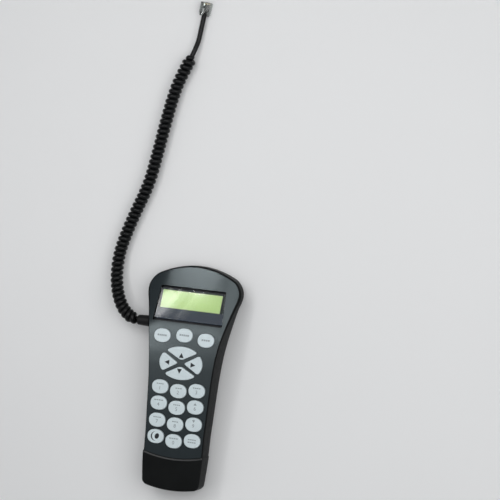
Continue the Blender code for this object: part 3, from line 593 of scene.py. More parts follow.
def resample(points, step):
    pts = np.array(points, float)
    seg = np.linalg.norm(np.diff(pts, axis=0), axis=1)
    t = np.concatenate([[0], np.cumsum(seg)])
    dt = np.gradient(pts, t, axis=0)
    out = []
    for ft in np.linspace(0, t[-1], 1600):
        i = min(max(int(np.searchsorted(t, ft)) - 1, 0), len(t) - 2)
        h = t[i + 1] - t[i]
        u = (ft - t[i]) / h
        a, b, c, d = 2 * u**3 - 3 * u**2 + 1, u**3 - 2 * u**2 + u, -2 * u**3 + 3 * u**2, u**3 - u**2
        out.append(a * pts[i] + b * h * dt[i] + c * pts[i + 1] + d * h * dt[i + 1])
    out = np.array(out)
    s = np.concatenate([[0], np.cumsum(np.linalg.norm(np.diff(out, axis=0), axis=1))])
    n = max(int(round(s[-1] / step)), 2)
    want = np.linspace(0, s[-1], n + 1)
    return np.stack([np.interp(want, s, out[:, k]) for k in range(3)], axis=1), float(s[-1])


# ---- camera ----------------------------------------------------------------------------------------------------------------
turn = Matrix.Rotation(BACK_TURN, 3, "X")
cam_right = turn @ Vector((0.94267, 0.09463, -0.32004)).normalized()
cam_back = turn @ Vector((0.31592, 0.05610, 0.94713)).normalized()
cam_up = cam_back.cross(cam_right).normalized()
cam_right = cam_up.cross(cam_back).normalized()
eye_face = Vector((0.94267, 0.09463, -0.32004)) * 61.63 + Vector((-0.10758, 0.99393, -0.02298)) * 101.19 + Vector((0.31592, 0.05610, 0.94713)) * 2200
eye = FACE @ eye_face
camera_data = bpy.data.cameras.new("camera")
camera_data.sensor_width = 36.0
camera_data.lens = 177.4
camera_data.clip_start, camera_data.clip_end = 0.05, 40.0
camera = bpy.data.objects.new("camera", camera_data)
scene.collection.objects.link(camera)
camera.matrix_world = Matrix.Translation(eye) @ Matrix((cam_right, cam_up, cam_back)).transposed().to_4x4()
scene.camera = camera

# ---- cord ------------------------------------------------------------------------------------------------------------------
CORD_PATH = (
    (-51.7, 33.55, 17.2), (-56.1, 34.5, 17.0), (-61.3, 37.4, 16.3), (-66.0, 41.3, 15.3), (-70.1, 46.5, 14.0),
    (-73.4, 52.3, 12.5), (-76.1, 58.7, 10.9), (-78.2, 66.3, 9.3), (-79.6, 75.2, 7.8), (-79.9, 85.0, 6.8),
    (-79.0, 94.0, 6.4), (-75.6, 108.0, 6.3), (-71.2, 122.3, 6.3), (-66.1, 136.6, 6.3), (-60.9, 151.0, 6.3),
    (-57.2, 165.0, 6.3), (-54.7, 179.0, 6.3), (-52.4, 193.0, 6.3), (-50.2, 207.0, 6.3), (-47.9, 220.7, 6.3),
    (-45.4, 234.0, 6.3), (-41.4, 250.0, 6.3), (-35.8, 264.5, 6.3), (-31.2, 275.5, 6.3),
)
LEAD_PATH = (
    (-30.6, 276.9, 6.3), (-29.0, 283.0, 5.2), (-27.6, 290.0, 3.6), (-26.6, 298.0, 3.3), (-25.6, 306.0, 3.5), (-24.8, 313.0, 3.7),
)
WIRE_R, COIL_R, PITCH = 2.2, 3.72, 4.75
axis_points, COIL_LENGTH = resample(CORD_PATH, 0.25)
tangents = np.gradient(axis_points, axis=0)
tangents /= np.linalg.norm(tangents, axis=1, keepdims=True)
side = np.cross(tangents[0], (0.0, 0.0, 1.0))
side /= np.linalg.norm(side)
sides_, ups_ = [], []
for t_ in tangents:
    side = side - t_ * np.dot(side, t_)
    side /= np.linalg.norm(side)
    sides_.append(side)
    ups_.append(np.cross(t_, side))
sides_, ups_ = np.array(sides_), np.array(ups_)
run = np.linspace(0, COIL_LENGTH, len(axis_points))
wave = 0.16 * np.sin(run / 17.0 + 0.6) + 0.11 * np.sin(run / 7.3 + 2.0)
phase = 2 * np.pi * (run + wave) / PITCH
reach = COIL_R * np.clip(run / 3.4, 0, 1) ** 0.7 * np.clip((COIL_LENGTH - run) / 4.4, 0, 1) ** 0.8
helix = axis_points + reach[:, None] * (np.cos(phase)[:, None] * sides_ + np.sin(phase)[:, None] * ups_)
curly = raw("coiled_cord", *sweep(helix, WIRE_R, 14), CORD, TABLE_FRAME, flip_check=False)
shade(curly, 60)
done(curly, "controller", ["curly_cord"])
lead_points, LEAD_LENGTH = resample(((-31.4, 275.2, 6.3),) + LEAD_PATH[1:], 0.8)
lead = raw("straight_lead", *sweep(lead_points, WIRE_R, 20), CORD, TABLE_FRAME, flip_check=False)
shade(lead, 60)
done(lead, "controller", ["cord_lead"])


def along_x(profile, n=40, y0=BOOT_Y, z0=BOOT_Z):
    return stack([[(x, y0 + a, z0 + b) for a, b in circle(0, 0, r, n)] for r, x in profile])


boot_profile = [(2.32, -49.2), (2.32, -50.1), (3.8, -50.2), (4.25, -50.05), (4.48, -49.7), (4.58, -49.2)]
boot_profile += [(4.58 + 0.55 * (x + 49.2) / 10.2 + 0.02 * math.sin(x * 1.7), x) for x in np.linspace(-48.4, -39.2, 16)]
boot_profile += [(5.13, -38.95), (5.08, -38.68), (4.9, -38.5), (3.3, -38.42), (3.2, -38.3), (3.2, -33.0), (4.6, -32.9), (4.6, -31.5)]
boot = shade(raw("cord_boot", *along_x(boot_profile), BOOT), 40)
done(boot, "controller", ["strain_relief"])

# plug at the far end, in its own frame: +Y the way it is pushed in
plug_yaw = math.atan2(-(LEAD_PATH[-1][0] - LEAD_PATH[-2][0]), LEAD_PATH[-1][1] - LEAD_PATH[-2][1])
plug_dir = Vector((-math.sin(plug_yaw), math.cos(plug_yaw), 0))
plug_at = Vector((LEAD_PATH[-1][0], LEAD_PATH[-1][1], 3.7)) + plug_dir * 0.3
PLUG = TABLE_FRAME @ Matrix.Translation(plug_at) @ Matrix.Rotation(plug_yaw, 4, "Z")
shell_rings = [
    [(x, y, z) for x, z in rounded(-hx, hx, z0, z1, r, 3)]
    for y, hx, z0, z1, r in (
        (0.0, 3.7, -2.5, 2.2, 0.6), (0.15, 3.9, -2.6, 2.3, 0.6), (1.8, 4.65, -3.2, 2.8, 0.5), (2.1, 4.8, -3.3, 2.9, 0.35),
        (11.9, 4.8, -3.3, 2.9, 0.35), (12.2, 4.68, -3.2, 2.8, 0.35), (12.3, 4.5, -3.05, 2.65, 0.3),
    )
]
plug_shell = raw("plug_body", *stack(shell_rings), None, PLUG)
slots = []
for i in range(6):
    x = -2.55 + 1.02 * i
    slots.append(box(x - 0.27, x + 0.27, 8.6, 13.0, -3.8, -1.6))
slot_cutter = raw("slots", *joined(slots), None, PLUG)
cut(plug_shell, slot_cutter)
bake(plug_shell, slot_cutter)
plug_shell.data.materials.append(PLUG_MAT)
shade(plug_shell, 30)
done(plug_shell, "controller", ["modular_plug"])
pins = raw("plug_pins", *joined([box(-2.55 + 1.02 * i - 0.17, -2.55 + 1.02 * i + 0.17, 8.75, 11.9, -3.05, -1.75) for i in range(6)]), GOLD, PLUG)
done(pins, "controller", ())
wires = []
for i in range(6):
    x = -2.55 + 1.02 * i
    wires.append(sweep([(x * 0.45, 1.4, -0.6), (x * 0.6, 3.0, -0.8), (x * 0.95, 5.0, -1.3), (x, 6.6, -1.55), (x, 10.6, -1.45)], 0.34, 8))
plug_wires = shade(raw("plug_wires", *joined(wires), CORE, PLUG), 40)
done(plug_wires, "controller", ())
crimp = shade(raw("plug_jacket", *sweep([(0, -0.6, 0.0), (0, 1.0, -0.2), (0, 3.4, -0.5)], [2.1, 2.0, 1.75], 20), CORD, PLUG), 40)
done(crimp, "controller", ())
LATCH = PLUG @ Matrix.Translation((0, 12.2, 3.25)) @ Matrix.Rotation(-math.radians(11.0), 4, "X")
latch_rings = [
    [(x, y, z) for x, z in rounded(-hx, hx, z0, z1, 0.18, 3)]
    for y, hx, z0, z1 in ((-11.6, 1.15, 0.12, 0.86), (-11.3, 1.3, 0.02, 0.9), (-6.2, 1.35, 0.0, 0.9), (-5.4, 1.6, 0.0, 0.9), (-0.9, 1.6, 0.0, 0.9), (-0.35, 1.45, 0.1, 0.84))
]
latch = shade(raw("plug_tab", *stack(latch_rings), PLUG_MAT, LATCH), 35)
done(latch, "plug_latch_body", ["plug_latch"])

# ---- housings --------------------------------------------------------------------------------------------------------------
def edge_r(y):
    return 1.0 + 0.6 * smooth(15, 50, y) + 0.8 * (1 - smooth(-112, -95, y))


def face_drop(x, y, h, yc):
    chamfer = 0.55 * min(max((yc - SEAM_Y + 1.45) / 1.3, 0.0), 1.0) + 0.45 * smooth(SEAM_Y - 0.15, SEAM_Y + 0.15, yc)
    drop = OVERLAY_T + OVERLAY_GAP - LIP * (1 - chamfer)
    r = edge_r(yc)
    a = max(r - (h - abs(x)), 0.0)
    end = 2.2 if yc < 0 else 2.0
    b = max(end - (yc - Y_BOTTOM if yc < 0 else Y_TOP - yc), 0.0) * r / end
    return drop + crown(x, y) + ease(r, math.hypot(a, b)) * (1.0 if b <= a else end / r)


front_stations = [Y_BOTTOM + e for e in (0, 0.06, 0.18, 0.36, 0.6, 0.9, 1.25, 1.65, 2.2, 2.8, 3.4, 4.1, 5.2, 7, 9.5, 12.5, 16, 20, 24)]
front_stations += [-88.2, -87.6, -87.36, -87.3, -87.24, -86.9, -86.5, -86.2, -86.08, -86.0, -85.94, -85.88, -85.82, -85.76, -85.7, -85.62, -85.3]
front_stations += stations_between(-84.0, 62.0, 2.35)
front_stations += stations_between(62.0, Y_TOP - 9.2, 1.9) + [Y_TOP - e for e in (9.2, 8.2, 7.0, 5.8, 4.7, 3.7, 2.9, 2.2, 1.65, 1.2, 0.85, 0.55, 0.32, 0.15, 0.05, 0)]
front_xs = edge_xs((0.0, 0.03, 0.1, 0.22, 0.4, 0.62, 0.9, 1.25, 1.7, 2.6, 4.0, 6.0), (0.9, 0.8, 0.68, 0.55, 0.42, 0.28, 0.14))
front = raw(
    "housing_front",
    *loft(front_stations, body_half, front_xs, lambda x, y, h, yc: z_face(y) - face_drop(x, y, h, yc), lambda x, y, h, yc: z_part(y) + 0.15),
)


def face_wall(y):
    return FACE_WALL + (HEAD_WALL - FACE_WALL) * smooth(30, 35, y) * (1 - smooth(70, 76, y))


def inner_half(y):
    return half_width(y) - WALL - corner(y, Y_BOTTOM + WALL, 1, 2.2) - corner(y, Y_TOP - WALL, -1, 7.2)


cavity_stations = [Y_BOTTOM + WALL + e for e in (0, 0.8, 2.2, 10)] + [-70, -40, -2.5, 8, 19, 30, 35, 42, 50, 58, 66, 70] + [
    Y_TOP - WALL - e for e in (8, 5, 2, 0.5, 0)
]
front_cavity = raw(
    "front_cavity",
    *loft(
        cavity_stations, inner_half, edge_xs((0.0, 1.5, 7.0), (0.7, 0.35)),
        lambda x, y, h, yc: z_face(y) - OVERLAY_T - OVERLAY_GAP - crown(x, y) - face_wall(y),
        lambda x, y, h, yc: z_part(y) - 4.0,
    ),
)
key_holes_parts = []
for _name, kx, ky in TOP_KEYS:
    lean = math.asin((ky - ARC_Y0) / ARC_R)
    spin = Matrix.Rotation(-lean, 3, "X")
    rings = [[tuple(Vector((kx, ky, z_face(ky))) + spin @ Vector((x, y, zz))) for x, y in oval(KEY_A, KEY_B, KEY_GAP)] for zz in (-9.0, 4.0)]
    key_holes_parts.append(stack(rings))
for side_y, mid_y in ROWS:
    for kx, ky in ((-KEY_X, side_y), (0.0, mid_y), (KEY_X, side_y)):
        key_holes_parts.append(polygon([(kx + x, ky + y) for x, y in oval(KEY_A, KEY_B, KEY_GAP)], -8, 4))
for kind in PAD_CENTRE:
    key_holes_parts.append(polygon(sector(kind, KEY_GAP), -8, 4))
key_holes = raw("key_holes", *joined(key_holes_parts))
WINDOW = trapezoid(-16.9, 16.1, 33.1, 31.0, 1.2)
window_hole = raw("window_hole", *polygon(WINDOW, -8, 6), None, HEAD)
notch = raw("notch", *along_x(((3.6, -50), (3.6, -31))))
for cutter in (front_cavity, key_holes, window_hole, notch):
    cut(front, cutter)
bake(front, front_cavity)
front.data.materials.append(BLACK)
# the upward faces of the lip along the seam take the lighter copy, which paints a highlight along the seam
front.data.materials.append(BLACK_SEAM_HIGHLIGHT)
to_face = FACE.inverted()
for poly in front.data.polygons:
    c_ = to_face @ poly.center
    if SEAM_Y - 1.44 < c_.y - BOW_BOTTOM * c_.x * c_.x < SEAM_Y - 0.12 and (turn_matrix @ poly.normal).z > 0.6:
        poly.material_index = 1
shade(front, 34)
done(front, "controller", ["front_shell"])

REAR_RX, REAR_RZ = 13.0, 11.0
HEAD_RX, HEAD_RZ = 15.0, 13.0


def rear_raise(x, y, h, yc):
    room = z_part(y) - z_back(y)
    head_t = smooth(25, 60, yc)
    rx = REAR_RX + (HEAD_RX - REAR_RX) * head_t
    rz = min(REAR_RZ + (HEAD_RZ - REAR_RZ) * head_t, room - 1.5)
    a = max(rx - (h - abs(x)), 0.0) / rx
    side = rz * (1 - math.sqrt(max(1 - a * a, 0.0)))
    re = 3.4 if yc < 0 else 4.5
    e = yc - Y_BOTTOM if yc < 0 else Y_TOP - yc
    end = ease(re, re - e)
    return max(side, end) if side < 0.5 * rz else min(side + 0.5 * end, max(rz, end))


def rear_xs(h, yc):
    head_t = smooth(25, 60, yc)
    rx = REAR_RX + (HEAD_RX - REAR_RX) * head_t
    right = [h - rx * (1 - math.sin(math.radians(a))) for a in (90, 84, 77, 70, 62, 54, 46, 38, 30, 22, 14, 7, 0)]
    return [-v for v in right] + [-0.66 * right[-1], -0.33 * right[-1], 0.0, 0.33 * right[-1], 0.66 * right[-1]] + right[::-1]


rear_stations = [Y_BOTTOM + e for e in (0, 0.08, 0.25, 0.5, 0.85, 1.3, 1.9, 2.6, 3.4, 4.5, 6, 8, 11)]
rear_stations += [-100, -94, -88, -86.3, -86.08, -85.62, -85.0] + stations_between(-82.0, 62.0, 3.2)
rear_stations += stations_between(62.0, Y_TOP - 9.2, 2.2) + [Y_TOP - e for e in (9.2, 7.6, 6.2, 5.0, 4.2, 3.3, 2.5, 1.8, 1.2, 0.75, 0.4, 0.15, 0)]
rear = raw(
    "housing_rear",
    *loft(rear_stations, body_half, rear_xs, lambda x, y, h, yc: z_part(y) - 0.15, lambda x, y, h, yc: z_back(y) + rear_raise(x, y, h, yc)),
)
rear_cutters = []
for x, y in CASE_SCREWS:
    step = z_part(y) - 3.2
    rear_cutters.append(tube_z(x, y, ((2.75, z_back(y) - 2), (2.35, z_back(y) + 1.2 if y < 0 else z_back(y) + 3.4), (2.35, step), (1.3, step), (1.3, z_part(y) + 2)), 36))
rear_cutters.append(along_x(((3.6, -50), (3.6, -31))))
rear_cutters.append(box(-JACK_W - 0.3, JACK_W + 0.3, -125, -101.2, JACK_Z0 - 0.3, -8.0))
lx0, lx1, ly0, ly1 = LABEL_BOX


def on_back(points, lift0, lift1):
    return stack([[(x, y, z_back(y) + lift) for x, y in points] for lift in (lift0, lift1)])


rear_cutter = raw("rear_cutter", *joined(rear_cutters))
label_recess = raw("label_recess", *on_back(rounded(*LABEL_BOX, 2.0, 8), -1.0, 0.75))
cut(rear, rear_cutter)
cut(rear, label_recess)
bake(rear, rear_cutter, label_recess)
rear.data.materials.append(BLACK)
shade(rear, 34)
done(rear, "controller", ["rear_shell"])

# ---- face overlay ----------------------------------------------------------------------------------------------------------
def overlay_half(y):
    inset = 0.95 + 0.75 * smooth(25, 55, y)
    return half_width(y) - inset - corner(y, -85.3, 1, 0.8) - corner(y, Y_TOP - 1.45, -1, 7.5)


overlay_stations = [-85.3, -85.2, -85.05, -84.8, -84.4] + stations_between(-83.4, 66.0, 2.35) + stations_between(66.0, Y_TOP - 9.45, 1.9)
overlay_stations += [Y_TOP - 1.45 - e for e in (8.0, 7.0, 5.9, 4.8, 3.8, 2.9, 2.1, 1.4, 0.85, 0.45, 0.18, 0.04, 0)]
overlay = raw(
    "overlay_film",
    *loft(
        overlay_stations, overlay_half, edge_xs((0.0, 1.2, 2.6, 4.2, 6.2, 8.6), (0.88, 0.75, 0.6, 0.45, 0.3, 0.15)),
        lambda x, y, h, yc: z_face(y) - crown(x, y), lambda x, y, h, yc: z_face(y) - crown(x, y) - OVERLAY_T,
    ),
)
cut(overlay, key_holes)
cut(overlay, window_hole)
bake(overlay)
overlay.data.materials.append(OVERLAY)
shade(overlay, 30)


def face_normal(x, y):
    if y < ARC_Y0:
        slope = 0.0
    elif y < ARC_Y1:
        slope = -(y - ARC_Y0) / math.sqrt(ARC_R**2 - (y - ARC_Y0) ** 2)
    else:
        slope = -math.tan(TILT)
    e = 0.02
    dx = -(crown(x + e, y) - crown(x - e, y)) / (2 * e)
    dy = slope - (crown(x, y + e) - crown(x, y - e)) / (2 * e)
    return Vector((-dx, -dy, 1.0)).normalized()


def exact_normals(obj):
    """Gives the face's own smooth curvature to the faces that lie on it, whatever cuts them."""
    back = FACE.inverted()
    spin = FACE.to_3x3().normalized()
    mesh = obj.data
    up = spin @ Vector((0, 0, 1))
    loops = [None] * len(mesh.loops)
    for poly in mesh.polygons:
        on_top = poly.normal.dot(up) > 0.75
        for i in poly.loop_indices:
            if on_top:
                p = back @ mesh.vertices[mesh.loops[i].vertex_index].co
                loops[i] = tuple(spin @ face_normal(p.x, p.y))
            else:
                loops[i] = tuple(poly.normal)
    mesh.normals_split_custom_set(loops)


exact_normals(overlay)
done(overlay, "controller", ["face_overlay"])
for helper in (key_holes, window_hole, notch):
    bpy.data.objects.remove(helper)

# ---- display stack ---------------------------------------------------------------------------------------------------------
to_head = HEAD.inverted().to_3x3()
lens = raw("lens_plate", *plate(trapezoid(-14.1, 14.2, 32.2, 30.6, 1.0), -1.9, -0.8, 0.22, 4), LENS_MAT, HEAD)
shade(lens, 8)
lens.data.materials.append(LENS_INNER)
for poly in lens.data.polygons:
    if (to_head @ poly.normal).z < 0.9:
        poly.material_index = 1
done(lens, "controller", ["window_lens"])
platform = raw("bezel_platform", *plate(trapezoid(-14.1, 14.2, 32.2, 30.6, 1.0), -4.7, -2.1, 0.12, 2), None, HEAD)
opening = raw("opening", *polygon(rounded(-29.5, 28.0, -4.1, 12.9, 0.4, 5), -8, 0), None, HEAD)
cut(platform, opening)
bake(platform)
platform.data.materials.append(BEZEL)
shade(platform, 15)
done(platform, "controller", ["lcd_bezel"])
# thin dark strips along the top and sides of the display opening: painted shade from the window's recess, laid on the
# bezel
painted_recess_shade = raw(
    "bezel_recess_shade",
    *joined([
        polygon([(28.05, -4.1), (31.45, -4.1), (30.45, 14.0), (28.05, 14.0)], -2.1, -2.08),
        polygon([(-31.45, -4.1), (-29.55, -4.1), (-29.55, 14.0), (-30.45, 14.0)], -2.1, -2.08),
        polygon([(-29.5, 12.95), (28.0, 12.95), (28.0, 14.0), (-29.5, 14.0)], -2.1, -2.08),
    ]), BEZEL_SHADE, HEAD)
done(painted_recess_shade, "controller", ())
# the flange under the window's grooves takes the near-black finish, which paints the shade deep in the grooves
flange = raw("bezel_flange", *polygon(rounded(-33.6, 33.6, -18.2, 17.6, 1.0), -5.4, -4.72), None, HEAD)
cut(flange, opening)
bake(flange, opening)
flange.data.materials.append(GROOVE_SHADE)
done(flange, "controller", ())
lcd = raw("display_glass", *plate(rounded(-29.25, 27.75, -3.85, 12.65, 0.3, 3), -4.7, -2.5, 0.1, 2), LCD, HEAD)
inverse_head = HEAD.inverted()
uv_layer = lcd.data.uv_layers.new(name="UVMap")
for loop in lcd.data.loops:
    p = inverse_head @ lcd.data.vertices[loop.vertex_index].co
    uv_layer.data[loop.index].uv = (p.x + 28.4, p.y + 3.0)
done(lcd, "controller", ["lcd_glass"])

# ---- keys ------------------------------------------------------------------------------------------------------------------
EDGE, DOME = 0.62, 0.07


def key_mesh(outline, cx, cy, flange_top):
    def at(grow, z, scale=1.0):
        return [((x - cx) * scale, (y - cy) * scale, z) for x, y in outline(grow)]

    rings = [at(0.6, flange_top - 0.8), at(0.6, flange_top), at(0.0, flange_top + 0.02)]
    edge_z = KEY_TOP
    rings.append(at(0.0, edge_z - EDGE - 0.3))
    for i in range(8):
        a = math.radians(90 * i / 7)
        rings.append(at(-EDGE * (1 - math.cos(a)), edge_z - EDGE + EDGE * math.sin(a)))
    for s in (0.93, 0.82, 0.68, 0.52, 0.35, 0.18):
        rings.append(at(-EDGE, edge_z + DOME * (1 - s * s), s))
    return stack(rings)


def oval_outline(grow):
    return oval(KEY_A, KEY_B, grow)


def place(x, y, z=0.0, lean=0.0):
    return FACE @ Matrix.Translation((x, y, z)) @ Matrix.Rotation(-lean, 4, "X")


def shape_faces(shapes, lift=KEY_TOP + DOME + 0.012):
    """Flat printed shapes: each a list of (x, y) corners."""
    verts, faces = [], []
    for shape in shapes:
        base = len(verts)
        verts += [(x, y, lift) for x, y in shape]
        faces.append(tuple(range(base, base + len(shape))))
    return verts, faces


def glyph(text, size, x0=0.0, y0=0.0):
    """A numeral's outline as triangles, from the built-in font, centred on (x0, y0)."""
    curve = bpy.data.curves.new("glyph", "FONT")
    curve.body = text
    curve.size = size
    curve.align_x, curve.align_y = "CENTER", "CENTER"
    curve.resolution_u = 6
    curve.offset = 0.03
    holder = bpy.data.objects.new("glyph", curve)
    scene.collection.objects.link(holder)
    bpy.context.view_layer.update()
    graph = bpy.context.evaluated_depsgraph_get()
    mesh = bpy.data.meshes.new_from_object(holder.evaluated_get(graph))
    out = [[(mesh.vertices[i].co.x + x0, mesh.vertices[i].co.y + y0) for i in poly.vertices] for poly in mesh.polygons]
    bpy.data.objects.remove(holder)
    bpy.data.curves.remove(curve)
    bpy.data.meshes.remove(mesh)
    return out


def dash(x0, x1, y, h):
    return [(x0, y - h / 2), (x1, y - h / 2), (x1, y + h / 2), (x0, y + h / 2)]


def dashes(y, width, count, h, x0=0.0, gap=0.42):
    w = (width - gap * (count - 1)) / count
    return [dash(x0 - width / 2 + i * (w + gap), x0 - width / 2 + i * (w + gap) + w, y, h) for i in range(count)]


def arrow(kind, x, y, half=2.25, length=4.5):
    a, b = length * 0.5, length * 0.5
    shapes = {
        "up": [(x - half, y - b), (x + half, y - b), (x, y + a)],
        "down": [(x + half, y + b), (x - half, y + b), (x, y - a)],
        "left": [(x + b, y - half), (x + b, y + half), (x - a, y)],
        "right": [(x - b, y + half), (x - b, y - half), (x + a, y)],
    }
    return shapes[kind]


def disc(x, y, rx, ry, turn_=0.0, n=36):
    c, s = math.cos(turn_), math.sin(turn_)
    return [(x + c * rx * math.cos(t) - s * ry * math.sin(t), y + s * rx * math.cos(t) + c * ry * math.sin(t)) for t in np.linspace(0, 2 * math.pi, n, endpoint=False)]


def crescent():
    """A ring sector that thins towards its ends, as triangles and quads."""
    out = []
    n = 26
    t = np.linspace(math.radians(95), math.radians(282), n)
    outer = [(-0.15 + 4.1 * math.cos(a), 0.05 + 4.2 * math.sin(a)) for a in t]
    inner = []
    for i, a in enumerate(t):
        w = math.sin(math.pi * i / (n - 1))
        inner.append((-0.15 + (4.1 - 1.15 * w) * math.cos(a), 0.05 + (4.2 - 1.15 * w) * math.sin(a)))
    for i in range(n - 1):
        out.append([outer[i], outer[i + 1], inner[i + 1], inner[i]])
    return out


legends = {
    "key_top_left": dashes(0.2, 8.6, 5, 1.5),
    "key_top_middle": dashes(0.0, 8.8, 5, 1.5),
    "key_top_right": dashes(0.1, 7.6, 4, 1.5),
    "key_upper_left": dashes(2.6, 6.6, 4, 0.9) + glyph("1", 4.6, 0, -1.3),
    "key_upper_middle": dashes(2.6, 6.0, 3, 0.9, 0.4) + glyph("2", 4.6, 0, -1.3),
    "key_upper_right": dashes(2.6, 7.2, 4, 0.9) + glyph("3", 4.6, 0, -1.3),
    "key_row2_left": dashes(2.6, 8.4, 4, 0.9) + glyph("4", 4.6, 0, -1.3),
    "key_row2_middle": dashes(2.6, 6.4, 4, 0.9) + glyph("5", 4.6, 0, -1.3),
    "key_row2_right": [arrow("up", 0.0, 3.0, 1.45, 2.3)] + glyph("6", 4.6, 0, -1.3),
    "key_row3_left": dashes(2.6, 7.2, 4, 0.9) + glyph("7", 4.6, 0, -1.3),
    "key_row3_middle": dashes(2.6, 5.6, 3, 0.9) + glyph("8", 4.6, 0, -1.3),
    "key_row3_right": [arrow("down", 0.0, 3.0, 1.45, 2.3)] + glyph("9", 4.6, 0, -1.3),
    "key_lower_left": [disc(1.5, 0.35, 1.95, 2.65, math.radians(-24))] + crescent(),
    "key_lower_middle": dashes(2.6, 8.2, 4, 0.9) + glyph("0", 4.6, 0, -1.3),
    "key_lower_right": dashes(1.2, 7.6, 4, 0.95) + dashes(-1.2, 7.6, 4, 0.95),
    "key_up": [arrow("up", 0.0, -2.1)],
    "key_down": [arrow("down", -0.5, 2.1)],
    "key_left": [arrow("left", 0.6, -0.3)],
    "key_right": [arrow("right", -1.7, -0.3)],
}
DARK_PRINT = ("key_lower_left", "key_up", "key_down", "key_left", "key_right")
key_places = {}
for names, (side_y, mid_y) in zip(
    (
        ("key_upper_left", "key_upper_middle", "key_upper_right"),
        ("key_row2_left", "key_row2_middle", "key_row2_right"),
        ("key_row3_left", "key_row3_middle", "key_row3_right"),
        ("key_lower_left", "key_lower_middle", "key_lower_right"),
    ),
    ROWS,
):
    for name, kx, ky in zip(names, (-KEY_X, 0.0, KEY_X), (side_y, mid_y, side_y)):
        key_places[name] = (key_mesh(oval_outline, 0, 0, -3.15), place(kx, ky))
for name, kx, ky in TOP_KEYS:
    key_places[name] = (key_mesh(oval_outline, 0, 0, -3.25), place(kx, ky, z_face(ky), math.asin((ky - ARC_Y0) / ARC_R)))
for kind, (cx, cy) in PAD_CENTRE.items():

    def pad_outline(grow, kind=kind):
        return sector(kind, grow)

    key_places["key_" + kind] = (key_mesh(pad_outline, cx, cy, -4.4 if kind != "down" else -3.9), place(cx, cy, -0.45 if kind == "up" else 0.0))
for name, (mesh, matrix) in key_places.items():
    cap = shade(raw(name.replace("key_", "cap_"), *mesh, KEYCAP, matrix), 40)
    done(cap, name + "_body", [name])
    mark = raw(name.replace("key_", "print_"), *shape_faces(legends[name]), LEGEND_PALE, matrix)
    if name in DARK_PRINT:
        mark.data.materials[0] = LEGEND
    done(mark, name + "_body", ())

# ---- small parts -----------------------------------------------------------------------------------------------------------
for tag, (x, y) in zip(("lower_left", "lower_right", "upper_left", "upper_right"), CASE_SCREWS):
    zp = z_part(y)
    top = 4.0 if y > 0 else 5.6
    profile = [(0.9, zp - 5.3), (1.5, zp - 5.24), (1.8, zp - 5.05), (1.95, zp - 4.75), (1.95, zp - 3.5), (0.85, zp - 3.4)]
    turns = int((top + 2.4) / 0.9)
    for i in range(turns):
        z = zp - 3.0 + i * 0.9
        profile += [(0.72, z), (0.98, z + 0.35), (0.98, z + 0.45), (0.72, z + 0.8)]
    profile += [(0.3, zp + top)]
    screw = raw("screw_" + tag, *tube_z(x, y, profile, 28))
    slots = [
        raw("slot_a", *box(x - 1.25, x + 1.25, y - 0.24, y + 0.24, zp - 6.0, zp - 4.45)),
        raw("slot_b", *box(x - 0.24, x + 0.24, y - 1.25, y + 1.25, zp - 6.0, zp - 4.43)),
    ]
    for slot_cutter in slots:
        cut(screw, slot_cutter)
        bake(screw, slot_cutter)
    screw.data.materials.append(STEEL)
    shade(screw, 35)
    done(screw, "controller", ["case_screw_" + tag])

finger = []
for i in range(4):
    x = -1.53 + 1.02 * i
    finger.append(sweep([(x, -110.3, -14.45), (x, -107.5, -14.42), (x, -105.0, -14.42), (x, -104.4, -14.42)], 0.24, 10))
fingers = shade(raw("jack_fingers", *joined(finger), GOLD), 40)
done(fingers, "controller", ["jack_contacts"])

finish_of = {
    "lcd_backlight": DIFFUSER, "lcd_board": PCB, "main_board": PCB, "lcd_header": CHIP, "keypad_web": SILICONE, "microcontroller": CHIP,
    "memory_chip": CHIP, "crystal": STEEL, "capacitor": CHIP, "regulator": CHIP, "cord_header": NYLON, "inner_lead": CORD, "data_jack": CORE,
    "rear_label": LABEL, "board_screw_lower_left": STEEL, "board_screw_lower_right": STEEL, "board_screw_upper_left": STEEL,
    "board_screw_upper_right": STEEL,
}
for name, mat in finish_of.items():
    for material_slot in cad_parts[name].material_slots:
        material_slot.material = mat

# ---- floor and light --------------------------------------------------------------------------------------------------------
floor_mat = surface("floor_pale", (0.86, 0.865, 0.87), 0.75, vary=0.012, patch=2.0, grain=400.0, depth=0.00002)
floor = raw("floor", [(-6, -6, -0.0004), (6, -6, -0.0004), (6, 6, -0.0004), (-6, 6, -0.0004)], [(0, 1, 2, 3)], floor_mat, Matrix.Identity(4), flip_check=False)

world = bpy.data.worlds.new("studio")
scene.world = world
world.use_nodes = True
world.node_tree.nodes["Background"].inputs["Color"].default_value = (0.96, 0.98, 1.0, 1)
world.node_tree.nodes["Background"].inputs["Strength"].default_value = 0.22


def panel(name, centre, target, width, height, radiance, colour=(1, 1, 1), roll=0.0, spread_deg=180.0):
    """An area light at centre, facing target, of the given radiance against a white of 1."""
    data = bpy.data.lights.new(name, "AREA")
    data.shape = "RECTANGLE"
    data.size, data.size_y = width, height
    data.energy = radiance * math.pi * width * height
    data.color = colour
    data.spread = math.radians(spread_deg)
    obj = bpy.data.objects.new(name, data)
    scene.collection.objects.link(obj)
    aim = (Vector(target) - Vector(centre)).to_track_quat("-Z", "Y")
    obj.matrix_world = Matrix.Translation(centre) @ (aim.to_matrix() @ Matrix.Rotation(roll, 3, "Z")).to_4x4()
    obj.visible_camera = False
    return obj


head_centre = HEAD @ Vector((0, 6, 0))
face_centre = FACE @ Vector((0, -20, 0))


def face_direction(x, y, z):
    return (turn @ Vector((x, y, z))).normalized()


EYE = Vector(eye)
REACH = 0.85


def tangent_plane(y):
    """The face's own plane at x = 0 and this y."""
    lean = math.asin(min(max(y - ARC_Y0, 0.0), ARC_Y1 - ARC_Y0) / ARC_R)
    return FACE @ Matrix.Translation((0, y, z_face(y))) @ Matrix.Rotation(-lean, 4, "X")


